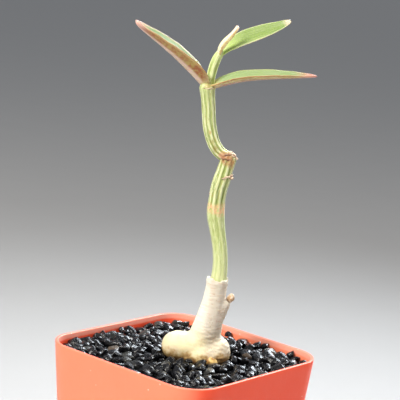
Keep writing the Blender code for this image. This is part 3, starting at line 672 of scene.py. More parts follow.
def ribbed_tree():
    """Skins a path whose points hold girth, ribbing and run, as a tube with lengthwise ribs."""
    tree = bpy.data.node_groups.new("ribbed_stem", "GeometryNodeTree")
    input_named(tree, "Path", "NodeSocketGeometry")
    input_named(tree, "Ribs", "NodeSocketInt", 9)
    input_named(tree, "Rib height", "NodeSocketFloat", 0.1)
    input_named(tree, "Twist", "NodeSocketFloat", 0.0)
    input_named(tree, "Sides", "NodeSocketInt", 64)
    input_named(tree, "Skin", "NodeSocketMaterial")
    tree.interface.new_socket("Stem", in_out="OUTPUT", socket_type="NodeSocketGeometry")
    given = node(tree, "NodeGroupInput").outputs
    path = node(tree, "GeometryNodeMeshToCurve", {"Mesh": given["Path"]}).outputs["Curve"]
    circle = node(tree, "GeometryNodeCurvePrimitiveCircle", {"Resolution": given["Sides"], "Radius": 1.0})
    round_way = node(tree, "GeometryNodeSplineParameter").outputs["Factor"]
    profile = node(tree, "GeometryNodeStoreNamedAttribute", {
        "Geometry": circle.outputs["Curve"], "Name": "round", "Value": round_way,
    }, data_type="FLOAT", domain="POINT").outputs["Geometry"]
    body = node(tree, "GeometryNodeCurveToMesh", {
        "Curve": path, "Profile Curve": profile, "Scale": value_of(tree, "girth"), "Fill Caps": True,
    }).outputs["Mesh"]
    place_of = node(tree, "GeometryNodeInputPosition").outputs["Position"]
    wander = node(tree, "ShaderNodeTexNoise", {"Vector": place_of, "Scale": 180.0, "Detail": 2.0}).outputs["Fac"]
    turn = sums(tree, "MULTIPLY", value_of(tree, "round"), sums(tree, "MULTIPLY", given["Ribs"], 2 * math.pi))
    turn = sums(tree, "ADD", turn, sums(tree, "MULTIPLY", value_of(tree, "run"), given["Twist"]))
    turn = sums(tree, "ADD", turn, sums(tree, "MULTIPLY", wander, 3.0))
    wave = sums(tree, "MULTIPLY", sums(tree, "ADD", sums(tree, "COSINE", turn), 1.0), 0.5)
    rib = sums(tree, "POWER", wave, 0.62)
    rise = sums(tree, "MULTIPLY", sums(tree, "SUBTRACT", rib, 0.75), given["Rib height"])
    rise = sums(tree, "MULTIPLY", rise, value_of(tree, "ribbing"))
    lumps = node(tree, "ShaderNodeTexNoise", {"Vector": place_of, "Scale": 420.0, "Detail": 3.0}).outputs["Fac"]
    rise = sums(tree, "ADD", rise, sums(tree, "MULTIPLY", sums(tree, "SUBTRACT", lumps, 0.5), 0.05))
    rise = sums(tree, "MULTIPLY", rise, value_of(tree, "girth"))
    outward = node(tree, "GeometryNodeInputNormal").outputs["Normal"]
    offset = node(tree, "ShaderNodeVectorMath", {0: outward, "Scale": rise}, operation="SCALE").outputs["Vector"]
    angle = sums(tree, "MULTIPLY", value_of(tree, "round"), 2 * math.pi)
    for key, value in (("rib", rib), ("turn_x", sums(tree, "COSINE", angle)), ("turn_y", sums(tree, "SINE", angle))):
        body = node(tree, "GeometryNodeStoreNamedAttribute", {
            "Geometry": body, "Name": key, "Value": value,
        }, data_type="FLOAT", domain="POINT").outputs["Geometry"]
    body = node(tree, "GeometryNodeSetPosition", {"Geometry": body, "Offset": offset}).outputs["Geometry"]
    body = node(tree, "GeometryNodeSetShadeSmooth", {"Geometry": body}).outputs["Geometry"]
    body = node(tree, "GeometryNodeRealizeInstances", {"Geometry": body}).outputs["Geometry"]
    body = node(tree, "GeometryNodeSetMaterial", {"Geometry": body, "Material": given["Skin"]}).outputs["Geometry"]
    node(tree, "NodeGroupOutput", {"Stem": body})
    return tree


def made_by(obj, tree, values):
    """Gives obj the plain mesh that a tree makes from it with those values for its named inputs."""
    modifier = obj.modifiers.new("made", "NODES")
    modifier.node_group = tree
    for item in tree.interface.items_tree:
        if item.name in values:
            modifier[item.identifier] = values[item.name]
    graph = bpy.context.evaluated_depsgraph_get()
    mesh = bpy.data.meshes.new_from_object(obj.evaluated_get(graph), preserve_all_data_layers=True, depsgraph=graph)
    obj.modifiers.remove(modifier)
    obj.data = mesh
    return obj


def path_of(name, growth, step):
    """An open line of edges along a growth, whose points hold what the ribbed tree reads."""
    route = curve_through(growth, 12)
    run = np.concatenate([[0.0], np.cumsum(np.linalg.norm(np.diff(route[:, :3], axis=0), axis=1))])
    even = np.linspace(0, run[-1], max(2, round(run[-1] / step)))
    route = np.stack([np.interp(even, run, route[:, axis]) for axis in range(5)], axis=1)
    points = [plant_turn @ Vector(point) * mm for point in route[:, :3]]
    mesh = bpy.data.meshes.new(name)
    mesh.from_pydata(points, [(i, i + 1) for i in range(len(points) - 1)], [])
    for key, values in (("girth", route[:, 3] * mm), ("ribbing", route[:, 4]), ("run", even * mm)):
        mesh.attributes.new(key, "FLOAT", "POINT").data.foreach_set("value", values.astype(np.float32))
    return place(name, mesh)


def surface_value(tree, name):
    return node(tree, "ShaderNodeAttribute", attribute_name=name).outputs["Fac"]


def near(tree, where, spot, inner, outer, strength=1.0):
    """As much as strength round a spot of the plant's frame, in millimetres, fading to none."""
    middle = tuple(plant_turn @ Vector(spot) * mm)
    away = node(tree, "ShaderNodeVectorMath", {0: where, 1: middle}, operation="DISTANCE").outputs["Value"]
    return within(tree, away, inner * mm, outer * mm, strength, 0.0)


def stem_finish(name):
    """Waxy green skin with pale ribs, tinged pink at a node, and brown where growth stopped."""
    material, tree, shader = finish(name)
    where = object_place(tree)
    height = node(tree, "ShaderNodeSeparateXYZ", {"Vector": where}).outputs["Z"]
    rib = surface_value(tree, "rib")
    cloud = speckle(tree, where, 240.0, detail=4.0)
    plain_tone = blended(tree, cloud, (0.45, 0.53, 0.18), (0.60, 0.66, 0.30))
    groove_tone = blended(tree, cloud, (0.17, 0.22, 0.035), (0.30, 0.38, 0.09))
    rib_tone = blended(tree, cloud, (0.58, 0.63, 0.26), (0.80, 0.80, 0.50))
    ragged = sums(tree, "ADD", rib, sums(tree, "MULTIPLY", sums(tree, "SUBTRACT", cloud, 0.5), 0.5))
    striped = blended(tree, within(tree, ragged, 0.35, 0.90), groove_tone, rib_tone)
    ribbed = within(tree, surface_value(tree, "ribbing"), 0.3, 1.15, 0.25, 0.95)
    colour = blended(tree, ribbed, plain_tone, striped)
    # Fine streaks run along the stem, whichever way it bends
    streak = node(tree, "ShaderNodeCombineXYZ", {
        "X": surface_value(tree, "turn_x"), "Y": surface_value(tree, "turn_y"),
        "Z": sums(tree, "MULTIPLY", surface_value(tree, "run"), 42.0),
    }).outputs["Vector"]
    streaks = speckle(tree, streak, 6.5, detail=4.0, rough=0.7)
    colour = blended(tree, within(tree, streaks, 0.52, 0.64, 0.0, 0.5), colour, (0.84, 0.84, 0.60))
    colour = blended(tree, within(tree, streaks, 0.36, 0.48, 0.65, 0.0), colour, (0.24, 0.28, 0.05))
    # Corky brown flecks gather in the grooves of the upper growth and above the first node
    corky = speckle(tree, streak, 4.0, detail=6.0, rough=0.75)
    corky = sums(tree, "MULTIPLY", within(tree, corky, 0.55, 0.64), within(tree, rib, 0.3, 0.9, 1.0, 0.2))
    corky = sums(tree, "MULTIPLY", corky, within(tree, height, 100 * mm, 110 * mm, 0.1, 0.85))
    colour = blended(tree, corky, colour, (0.42, 0.25, 0.08))
    # The skin is paler and yellower where it comes out of the bark
    colour = blended(tree, within(tree, height, 84 * mm, 96 * mm, 0.5, 0.0), colour, (0.76, 0.80, 0.42))
    fine = speckle(tree, where, 900.0, detail=5.0, rough=0.65)
    band = sums(tree, "SUBTRACT", height, 105.2 * mm)
    band = sums(tree, "ABSOLUTE", sums(tree, "ADD", band, sums(tree, "MULTIPLY", sums(tree, "SUBTRACT", cloud, 0.5), 3.4 * mm)))
    tinge = within(tree, band, 0.5 * mm, 2.2 * mm, 0.80, 0.0)
    tinge = sums(tree, "MULTIPLY", tinge, within(tree, fine, 0.36, 0.58))
    colour = blended(tree, tinge, colour, (0.86, 0.47, 0.27))
    freckle = sums(tree, "MULTIPLY", within(tree, fine, 0.60, 0.70), within(tree, height, 108 * mm, 122 * mm, 0.0, 0.7))
    colour = blended(tree, sums(tree, "MULTIPLY", freckle, within(tree, cloud, 0.45, 0.6)), colour, (0.45, 0.30, 0.10))
    # Brown marks at the scars and about the kink are stains; the dark olive spot at the front of the young shoot's base
    # is painted shade
    scars_and_shade = (
        ((7.2, -1.8, 121.4), 1.2, 3.0, 0.95, (0.40, 0.17, 0.065)), ((8.9, -1.2, 119.9), 0.5, 2.2, 0.85, (0.48, 0.25, 0.09)),
        ((5.6, -0.9, 122.3), 0.4, 1.8, 0.8, (0.58, 0.28, 0.16)), ((1.2, -0.9, 128.8), 0.1, 1.0, 0.9, (0.48, 0.27, 0.06)),
        ((3.4, -0.8, 123.9), 0.3, 1.8, 0.75, (0.26, 0.19, 0.04)), ((-0.6, -1.4, 143.4), 0.5, 2.0, 0.65, (0.46, 0.30, 0.12)),
        ((0.3, -0.2, 144.3), 0.6, 2.2, 0.75, (0.20, 0.22, 0.03)), ((2.2, -0.7, 126.0), 0.2, 1.3, 0.6, (0.34, 0.24, 0.05)), ((8.6, 0.0, 118.0), 0.2, 1.6, 0.6, (0.46, 0.30, 0.10)),
        ((7.2, -1.9, 115.0), 0.2, 1.2, 0.6, (0.62, 0.45, 0.24)), ((4.4, 3.9, 104.9), 0.2, 1.2, 0.6, (0.62, 0.45, 0.24)),
    )
    for spot, inner, outer, strength, tone in scars_and_shade:
        mark = near(tree, where, spot, inner, outer, strength)
        mark = sums(tree, "MULTIPLY", mark, within(tree, fine, 0.38, 0.55, 0.45, 1.0))
        colour = blended(tree, mark, colour, tone)
    tree.links.new(colour, shader.inputs["Base Color"])
    tree.links.new(within(tree, fine, 0.35, 0.7, 0.36, 0.52), shader.inputs["Roughness"])
    coarse = relief(tree, streaks, 0.05 * mm)
    tree.links.new(relief(tree, fine, 0.03 * mm, under=coarse), shader.inputs["Normal"])
    # A faint waxy bloom pales its edges
    shader.inputs["Sheen Weight"].default_value = 0.30
    shader.inputs["Sheen Roughness"].default_value = 0.35
    shader.inputs["Sheen Tint"].default_value = (0.94, 0.97, 1.0, 1.0)
    shader.inputs["Subsurface Weight"].default_value = 0.12
    shader.inputs["Subsurface Radius"].default_value = (0.8, 1.0, 0.3)
    shader.inputs["Subsurface Scale"].default_value = 0.7 * mm
    return material


stem_skin = stem_finish("ribbed_green_skin")
ribs = ribbed_tree()
stem_values = {"Ribs": stem_ribs, "Rib height": rib_height, "Twist": rib_twist, "Sides": stem_sides, "Skin": stem_skin}
growths = []
for name, growth in (("lower_growth", lower_growth), ("upper_growth", upper_growth)):
    growths.append(made_by(path_of(name, growth, stem_step_mm), ribs, stem_values))
for piece in growths:
    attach(piece, "root")
    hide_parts("green_stem")


# The dried scars. Tan, corky tissue where the stem has lost its leaves and its first tip: a rough
# crest with a short beak at the kink, and thin raised welts part of the way round at the nodes.

# Welts as (across, back, height) of the middle, reach, first and last bearing, tilt, thickness
welts = (
    ((6.75, 0.85, 115.3), 2.62, -105, 25, 0.30, 0.34), ((7.55, 0.6, 121.15), 2.42, -185, -60, -0.05, 0.24),
    ((5.40, 1.5, 104.6), 2.74, 60, 150, 0.05, 0.26), ((5.60, 1.35, 109.4), 2.50, 150, 215, -0.1, 0.20),
    ((0.60, 1.4, 133.2), 2.08, 20, 95, 0.1, 0.20), ((-0.70, 0.9, 142.2), 2.40, -130, -20, 0.06, 0.15),
)
# Lumps as the middle, half sizes, and tilt in degrees
lumps = (
    ((8.5, 0.4, 122.5), (1.65, 1.70, 0.85), 26), ((9.9, 0.1, 121.6), (0.85, 0.60, 0.42), 38),
    ((9.20, -0.6, 115.35), (0.65, 0.60, 0.45), 0), ((7.3, -1.0, 122.5), (1.25, 0.55, 0.45), -14),
)


def welt_rings(middle, reach, first, last, tilt, thick):
    """A thin raised welt part of the way round the stem, pinched off at both ends."""
    route = []
    for k in range(41):
        share = k / 40
        bearing = math.radians(first + (last - first) * share)
        out = Vector((math.cos(bearing), math.sin(bearing), tilt * math.cos(bearing)))
        fullness = max(0.12, math.sin(math.pi * share) ** 0.5)
        wave = 0.10 * math.sin(9 * bearing)
        route.append((*(Vector(middle) + out * reach + Vector((0, 0, wave))), thick * fullness))
    return tube(route, 14, roughness=0.35, cells=1600, seed=2.0)


def lump_mesh(name, middle, half, tilt):
    """A rough lump of cork in the plant's frame."""
    bm = bmesh.new()
    bmesh.ops.create_icosphere(bm, subdivisions=4, radius=1.0)
    lean = Matrix.Rotation(math.radians(tilt), 3, "Y")
    for vert in bm.verts:
        rough = 1 + 0.14 * ripple(vert.co, (1.7,) * 3, 5.0) + 0.05 * ripple(vert.co, (5.0,) * 3, 1.0)
        local = Vector([value * size for value, size in zip(vert.co * rough, half)])
        vert.co = plant_turn @ (Vector(middle) + lean @ local) * mm
    mesh = bpy.data.meshes.new(name)
    bm.to_mesh(mesh)
    bm.free()
    mesh.shade_smooth()
    return mesh


def as_one(name, meshes):
    """One object over several meshes, each a closed body of its own."""
    bm = bmesh.new()
    for mesh in meshes:
        bm.from_mesh(mesh)
        bpy.data.meshes.remove(mesh)
    whole = bpy.data.meshes.new(name)
    bm.to_mesh(whole)
    bm.free()
    whole.shade_smooth()
    return place(name, whole)


cork, tree, shader = finish("dried_cork")
where = object_place(tree)
cloud = speckle(tree, where, 800.0, detail=6.0, rough=0.7)
colour = blended(tree, within(tree, cloud, 0.35, 0.65), (0.40, 0.22, 0.12), (0.80, 0.66, 0.48))
dark = within(tree, speckle(tree, where, 1500.0, detail=5.0), 0.54, 0.64, 0.0, 0.8)
colour = blended(tree, dark, colour, (0.27, 0.13, 0.06))
# Darkest in the hollow under the crest, partly the cork's own brown and partly painted shade
colour = blended(tree, near(tree, where, (6.9, -2.0, 121.5), 0.9, 2.6, 0.92), colour, (0.17, 0.06, 0.025))
tree.links.new(colour, shader.inputs["Base Color"])
shader.inputs["Roughness"].default_value = 0.75
tree.links.new(relief(tree, cloud, 0.15 * mm), shader.inputs["Normal"])
bodies = [skin(planted(welt_rings(*welt)), "welt") for welt in welts]
bodies += [lump_mesh("lump", *lump) for lump in lumps]
scars_and_shade = as_one("dried_scars", bodies)
scars_and_shade.data.materials.append(cork)
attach(scars_and_shade, "root")


# The young shoot. The stem's newest growth, still short and soft, which rises between the two large
# leaves and carries two young ones.

shoot_growth = (
    (-0.30, 1.1, 142.8, 1.50, 0.2), (-0.18, 1.15, 143.9, 1.34, 0.6), (0.02, 1.2, 145.9, 1.38, 0.9),
    (0.50, 1.3, 148.8, 1.44, 0.8), (1.25, 1.4, 151.2, 1.42, 0.6), (2.00, 1.4, 152.8, 1.25, 0.4),
    (2.45, 1.4, 153.7, 0.80, 0.1), (2.60, 1.4, 154.0, 0.25, 0.0),
)
shoot = path_of("young_shoot_skin", shoot_growth, stem_step_mm)
made_by(shoot, ribs, {"Ribs": 5, "Rib height": 0.12, "Twist": rib_twist, "Sides": 72, "Skin": stem_skin})
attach(shoot, "root")
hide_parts("young_shoot")


# The leaves. Four fleshy, pointed blades, each folded along its keel: two large ones, red-brown under
# and along their margins, and two young ones, paler, the narrow one still half rolled up.

blade_stations = 84
blade_steps = 26
# The half width along a blade whose widest place is at outline_widest
blade_outline = np.array((
    (0.0, 0.44), (0.04, 0.58), (0.09, 0.76), (0.16, 0.92), (0.22, 0.985), (0.27, 1.0), (0.34, 0.99),
    (0.42, 0.955), (0.50, 0.90), (0.58, 0.825), (0.66, 0.735), (0.74, 0.63), (0.82, 0.505),
    (0.88, 0.40), (0.93, 0.30), (0.97, 0.20), (0.99, 0.12), (1.0, 0.03),
))
outline_widest = 0.27
leaf_forms = {
    "leaf_left": {
        "midrib": (
            (-1.6, 0.9, 142.7), (-2.9, 0.3, 143.9), (-5.9, -0.8, 146.6), (-11.0, -2.4, 150.9),
            (-16.9, -3.6, 155.2), (-21.6, -4.4, 158.3), (-23.4, -4.8, 159.8), (-23.8, -4.9, 161.0),
        ),
        "half_width": 4.9, "fold": 54, "faces": (0.58, -0.22, 0.78), "turned": (0.04, 0.34, -0.03),
        "widest": 0.24, "thick": 1.05, "curl": 0.10, "blunt": 0.14,
    },
    "leaf_right": {
        "midrib": (
            (0.3, 0.9, 142.7), (1.9, 0.8, 143.1), (5.2, 0.4, 144.3), (11.0, -0.2, 146.0),
            (18.0, -0.6, 147.2), (25.0, -0.7, 148.0), (31.9, -0.6, 148.8),
        ),
        "half_width": 4.6, "fold": 27, "faces": (-0.17, -0.19, 0.97), "turned": (0.0, 0.0, 0.0),
        "widest": 0.27, "thick": 1.1, "curl": 0.05, "blunt": 0.06,
    },
    "leaf_young_right": {
        "midrib": (
            (2.0, 1.6, 152.4), (3.1, 2.0, 153.6), (5.1, 2.6, 155.3), (8.8, 3.6, 157.7),
            (14.0, 4.6, 160.1), (19.1, 5.2, 162.4), (22.7, 5.4, 164.4),
        ),
        "half_width": 3.0, "fold": 15, "faces": (-0.29, -0.73, 0.62), "turned": (0.0, 0.0, 0.0),
        "widest": 0.42, "thick": 0.75, "curl": 0.06, "blunt": 0.11,
    },
    "leaf_young_upright": {
        "midrib": (
            (1.6, 1.1, 152.0), (1.7, 0.5, 153.3), (1.9, 0.0, 155.0), (2.75, -0.4, 156.8),
            (3.9, -0.6, 158.2), (5.1, -0.8, 159.6), (6.0, -0.7, 160.9), (6.5, -0.6, 161.9),
        ),
        "half_width": 1.65, "fold": 62, "faces": (0.83, 0.05, -0.55), "turned": (0.0, 0.0, 0.0),
        "widest": 0.40, "thick": 0.8, "curl": 0.04, "blunt": 0.55,
    },
}


def blade_width(form, share):
    """Half the blade's width a share of the way along it."""
    stretch = math.log(outline_widest) / math.log(form["widest"])
    pointed = np.interp(share ** stretch, blade_outline[:, 0], blade_outline[:, 1])
    rounded = form["blunt"] * share ** 8 * math.sqrt(max(0.0, 1 - share ** 30))
    return form["half_width"] * (pointed + rounded)


def blade_rings(form):
    """Rings round a folded blade, with each point's place across it, along it and on its underside."""
    route = curve_through(form["midrib"], 16)
    run = np.concatenate([[0.0], np.cumsum(np.linalg.norm(np.diff(route, axis=0), axis=1))])
    # Stations crowd towards the tip, where the outline rounds off
    shares = 1 - (1 - np.linspace(0, 1, blade_stations)) ** 1.35
    route = np.stack([np.interp(shares * run[-1], run, route[:, axis]) for axis in range(3)], axis=1)
    fold = math.radians(form["fold"])
    seed = len(form["midrib"]) + form["half_width"]
    crossings = np.sin(np.linspace(-math.pi / 2, math.pi / 2, blade_steps + 1))
    rings, places = [], []
    for centre, axis, share in zip(route, np.gradient(route, axis=0), shares):
        axis = axis / np.linalg.norm(axis)
        # The blade may face another way at its base, and twists to its own by two thirds along
        faces = np.array(form["faces"]) + np.array(form["turned"]) * max(0.0, 1 - 1.5 * share)
        hollow = faces - axis * axis.dot(faces)
        hollow = hollow / np.linalg.norm(hollow)
        lateral = np.cross(axis, hollow)
        width = blade_width(form, share)
        depth = form["thick"] * min(1.0, 0.35 + width / form["half_width"]) * (1 - 0.25 * share)
        ring, place_row = [], []
        for under, steps in ((0, crossings), (1, crossings[::-1][1:-1])):
            for across in steps:
                reach = abs(across)
                side = math.copysign(1, across)
                wave = 0.035 * form["half_width"] * ripple((share * 9, side, 0), (1, 1, 1), seed)
                rise = math.sin(fold) * width * reach ** 1.3 + wave * reach ** 3
                rise -= form["curl"] * width * reach ** 4
                lean = -math.sin(fold) * side * min(1.0, (reach * 2.2) ** 0.8)
                normal = hollow * math.cos(fold * min(1.0, reach * 2)) + lateral * lean
                normal = normal / np.linalg.norm(normal)
                half_depth = 0.5 * depth * max(0.0, 1 - reach ** 3.2) ** 0.5
                if under:
                    # The keel stands out along the underside
                    half_depth = -half_depth - 0.22 * depth * math.exp(-((across / 0.10) ** 2)) * (1 - share)
                point = centre + lateral * math.cos(fold) * width * across + hollow * rise
                ring.append((point + normal * half_depth) * mm)
                place_row.append((across, share, under if reach < 0.995 else 0.5))
        rings.append(ring)
        places.append(place_row)
    return rings, places


def leaf_piece(name, form, material):
    rings, places = blade_rings(form)
    mesh = skin(planted(rings), name)
    flat = np.array(places, dtype=np.float32).reshape(-1, 3)
    for index, key in enumerate(("across", "lengthwise", "under")):
        mesh.attributes.new(key, "FLOAT", "POINT").data.foreach_set("value", flat[:, index].copy())
    piece = place(name + "_blade", mesh)
    piece.data.materials.append(material)
    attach(piece, "root")
    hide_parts(name)


def leaf_finish(name, tones, keel_at, mottle, edged, stripe, lined, tipped, base_fade_and_glow):
    """Leaf skin: veined above, mottled below, with a coloured keel, margin, line inside it, and tip."""
    material, tree, shader = finish(name)
    where = object_place(tree)
    across = surface_value(tree, "across")
    lengthwise = surface_value(tree, "lengthwise")
    below = surface_value(tree, "under")
    reach = sums(tree, "ABSOLUTE", across)
    fine = speckle(tree, where, 1300.0, detail=5.0, rough=0.65)
    cloud = speckle(tree, where, 330.0, detail=4.0)
    # Fine veins run along the blade
    grid = node(tree, "ShaderNodeCombineXYZ", {
        "X": sums(tree, "MULTIPLY", across, 15.0), "Y": sums(tree, "MULTIPLY", lengthwise, 3.0), "Z": below,
    }).outputs["Vector"]
    veins = speckle(tree, grid, 1.0, detail=3.0, rough=0.6)
    top = blended(tree, within(tree, veins, 0.35, 0.68), tones["upper"], tones["upper_light"])
    top = blended(tree, within(tree, reach, 0.02, 0.12, stripe, 0.0), top, tones["upper_light"])
    blotch = sums(tree, "ADD", sums(tree, "MULTIPLY", cloud, 0.55), sums(tree, "MULTIPLY", fine, 0.45))
    bottom = blended(tree, within(tree, blotch, mottle, mottle + 0.14), tones["under"], tones["under_dark"])
    bottom = blended(tree, within(tree, reach, 0.35, 0.75, 0.0, edged), bottom, tones["under_edge"])
    bottom = blended(tree, within(tree, reach, keel_at - 0.1, keel_at + 0.1, 0.85, 0.0), bottom, tones["keel"])
    colour = blended(tree, within(tree, below, 0.3, 0.7), top, bottom)
    fray = sums(tree, "SUBTRACT", fine, 0.5)
    ragged = sums(tree, "ADD", reach, sums(tree, "MULTIPLY", fray, 0.10))
    colour = blended(tree, within(tree, ragged, 0.80, 0.92, 0.0, lined), colour, tones["inner_line"])
    colour = blended(tree, within(tree, ragged, 0.93, 1.0, 0.0, 0.92), colour, tones["margin"])
    tip_share = sums(tree, "ADD", lengthwise, sums(tree, "MULTIPLY", fray, 0.06))
    colour = blended(tree, within(tree, tip_share, tipped, 0.985, 0.0, 0.95), colour, tones["tip"])
    # The base fades to the stem's pale green; on the young right leaf it reaches further and is a brighter
    # yellow-green, a painted light over the shadow on its base
    colour = blended(tree, within(tree, lengthwise, 0.03, base_fade_and_glow, 0.6, 0.0), colour, tones["base"])
    tree.links.new(colour, shader.inputs["Base Color"])
    tree.links.new(within(tree, fine, 0.35, 0.7, 0.32, 0.48), shader.inputs["Roughness"])
    lines = relief(tree, veins, 0.07 * mm)
    tree.links.new(relief(tree, fine, 0.03 * mm, under=lines), shader.inputs["Normal"])
    shader.inputs["Subsurface Weight"].default_value = 0.25
    shader.inputs["Subsurface Radius"].default_value = (0.8, 1.0, 0.3)
    shader.inputs["Subsurface Scale"].default_value = 0.7 * mm
    return material


leaf_tones = {
    # Its pale upper tone is tinted blue, partly a painted reflection of the sky on the upper side
    "leaf_left": {
        "upper": (0.30, 0.42, 0.21), "upper_light": (0.46, 0.58, 0.40), "under": (0.44, 0.32, 0.09),
        "under_dark": (0.36, 0.11, 0.04), "under_edge": (0.42, 0.26, 0.09), "keel": (0.80, 0.60, 0.47),
        "inner_line": (0.52, 0.42, 0.16), "margin": (0.42, 0.19, 0.10), "tip": (0.76, 0.46, 0.40),
        "base": (0.70, 0.60, 0.32),
    },
    "leaf_right": {
        "upper": (0.225, 0.31, 0.11), "upper_light": (0.335, 0.41, 0.20), "under": (0.50, 0.34, 0.09),
        "under_dark": (0.34, 0.12, 0.045), "under_edge": (0.62, 0.50, 0.15), "keel": (0.44, 0.17, 0.08),
        "inner_line": (0.52, 0.48, 0.17), "margin": (0.38, 0.16, 0.07), "tip": (0.56, 0.24, 0.19),
        "base": (0.62, 0.46, 0.20),
    },
    # Its base tone is a bright yellow-green, a painted light where shadow falls on its base
    "leaf_young_right": {
        "upper": (0.195, 0.295, 0.068), "upper_light": (0.32, 0.405, 0.135), "under": (0.56, 0.58, 0.22),
        "under_dark": (0.52, 0.36, 0.14), "under_edge": (0.56, 0.58, 0.24), "keel": (0.90, 0.86, 0.60),
        "inner_line": (0.56, 0.64, 0.34), "margin": (0.66, 0.56, 0.38), "tip": (0.76, 0.60, 0.46),
        "base": (0.60, 0.76, 0.20),
    },
    # Its cream keel is partly a painted lit side, and its tan edges and brown mottling partly painted shade, over its
    # own cream and tan
    "leaf_young_upright": {
        "upper": (0.34, 0.40, 0.12), "upper_light": (0.50, 0.54, 0.22), "under": (0.66, 0.56, 0.30),
        "under_dark": (0.42, 0.25, 0.10), "under_edge": (0.46, 0.33, 0.13), "keel": (0.90, 0.82, 0.56),
        "inner_line": (0.54, 0.42, 0.18), "margin": (0.66, 0.46, 0.30), "tip": (0.82, 0.60, 0.48),
        "base": (0.76, 0.70, 0.42),
    },
}
# How far across the keel's colour reaches, how little of the underside is mottled, how strong the
# underside's edge colour, the upper side's pale middle and the line inside the margin are, how far
# along the leaf the tip's colour starts, and how far the base's colour reaches, painted light on the young right leaf
leaf_marks = {
    "leaf_left": {
        "keel_at": 0.36, "mottle": 0.42, "edged": 0.1, "stripe": 0.4, "lined": 0.6, "tipped": 0.78,
        "base_fade_and_glow": 0.13,
    },
    "leaf_right": {
        "keel_at": 0.12, "mottle": 0.40, "edged": 0.6, "stripe": 0.4, "lined": 0.35, "tipped": 0.76,
        "base_fade_and_glow": 0.13,
    },
    "leaf_young_right": {
        "keel_at": 0.18, "mottle": 0.52, "edged": 0.5, "stripe": 0.1, "lined": 0.5, "tipped": 0.88,
        "base_fade_and_glow": 0.42,
    },
    "leaf_young_upright": {
        "keel_at": 0.50, "mottle": 0.44, "edged": 0.7, "stripe": 0.1, "lined": 0.6, "tipped": 0.84,
        "base_fade_and_glow": 0.13,
    },
}
for name, form in leaf_forms.items():
    leaf_piece(name, form, leaf_finish(name + "_skin", leaf_tones[name], **leaf_marks[name]))


# The gravel. Crushed black stone, washed and still wet, poured round the plant once it is potted: a
# bed of fine grit, and over it stones of 2 to 5 mm that lie loose and heap a little along one side.

grit_top = 52.4 * mm
gravel_foot = 50.4 * mm
heap_slope = 0.020
# The gravel dips towards the plant, which stands a little off the pot's middle
dish_depth = 2.9 * mm
dish_middle = plant_turn @ Vector((4.5, 0.5, 0.0)) * mm
dish_reach = (9.5 * mm, 20.0 * mm)
# It is banked up against the back wall
bank_middle = (19 * mm, 28 * mm)
bank_reach = 9.5 * mm
bank_rise = 2.4 * mm
stone_count = 400
stone_radii = (1.35 * mm, 2.95 * mm)
settle_rounds = 260
stone_seed = 5
stone_kinds = 14
# The stones also lie clear of the rootlet: a ball round it in the plant's frame, and its radius
rootlet_spot = (9.2 * mm, -5.2 * mm, 56.8 * mm)
rootlet_clear = 2.5 * mm
stone_corners = 10


def bed_height(x, y):
    """The height of the grit bed under the stones at a place, or at arrays of places."""
    near_share = (np.hypot(x - dish_middle.x, y - dish_middle.y) - dish_reach[0]) / (dish_reach[1] - dish_reach[0])
    near_share = np.clip(near_share, 0.0, 1.0)
    to_bank = np.hypot(x - bank_middle[0], y - bank_middle[1]) / bank_reach
    bank = bank_rise * np.exp(-to_bank ** 2)
    return grit_top - heap_slope * x + bank + dish_depth * near_share ** 2 * (3 - 2 * near_share)


def wall_clearance(points):
    """How far inside the pot's inner face each point is, and the way back inwards."""
    half = (base_side + (rim_side - base_side) * points[:, 2] / pot_height) / 2 - lip_width
    corner = rim_corner - lip_width
    beyond = np.abs(points[:, :2]) - (half - corner)[:, None]
    out = np.maximum(beyond, 0.0)
    length = np.linalg.norm(out, axis=1)
    both = (beyond > 0).all(axis=1)
    clear = np.where(both, corner - length, corner - beyond.max(axis=1))
    nearest = np.where(beyond[:, :1] > beyond[:, 1:], [[1.0, 0.0]], [[0.0, 1.0]])
    way = np.where(both[:, None], out / np.maximum(length, 1e-9)[:, None], nearest)
    return clear, -way * np.sign(points[:, :2])


def from_foot(places):
    """How far outside the caudex and its rootlet each place is, and the way straight out from them."""
    def away_from(spots):
        to_rootlet = np.linalg.norm(spots - rootlet_spot, axis=1) - rootlet_clear
        return np.minimum(from_caudex(*spots.T), to_rootlet)

    away = away_from(places)
    slopes = np.stack([away_from(places + nudge) - away for nudge in np.eye(3) * 0.05 * mm], axis=1)
    return away, slopes / np.maximum(np.linalg.norm(slopes, axis=1, keepdims=True), 1e-12)


def settled_stones():
    """Middles and radii of stones that have sunk, pushed each other apart and come to lie still."""
    rng = np.random.default_rng(stone_seed)
    radii = stone_radii[0] + (stone_radii[1] - stone_radii[0]) * rng.random(stone_count) ** 1.3
    spots = rng.uniform(-29 * mm, 29 * mm, (stone_count, 3))
    spots[:, 2] = bed_height(*spots[:, :2].T) + rng.uniform(0, 6 * mm, stone_count)
    to_plant = np.array(plant_turn.transposed())
    for step in range(settle_rounds):
        spots[:, 2] -= 0.10 * mm * (1 - step / settle_rounds)
        gaps = spots[:, None, :] - spots[None, :, :]
        lengths = np.linalg.norm(gaps, axis=2) + np.eye(stone_count)
        overlap = np.maximum(0.0, 0.93 * (radii[:, None] + radii[None, :]) - lengths)
        np.fill_diagonal(overlap, 0.0)
        spots += 0.42 * (gaps / lengths[:, :, None] * overlap[:, :, None]).sum(axis=1)
        spots[:, 2] = np.maximum(spots[:, 2], bed_height(*spots[:, :2].T) + 0.4 * radii)
        # None stands proud of the rim
        spots[:, 2] = np.minimum(spots[:, 2], pot_height - 0.6 * mm - 0.9 * radii)
        clear, inwards = wall_clearance(spots)
        short = np.maximum(0.0, radii * 0.92 - clear)
        spots[:, :2] += inwards * short[:, None]
        away, outwards = from_foot(spots @ to_plant.T)
        push = np.maximum(0.0, radii * 0.85 - away)
        spots += (outwards * push[:, None]) @ to_plant
    return spots, radii


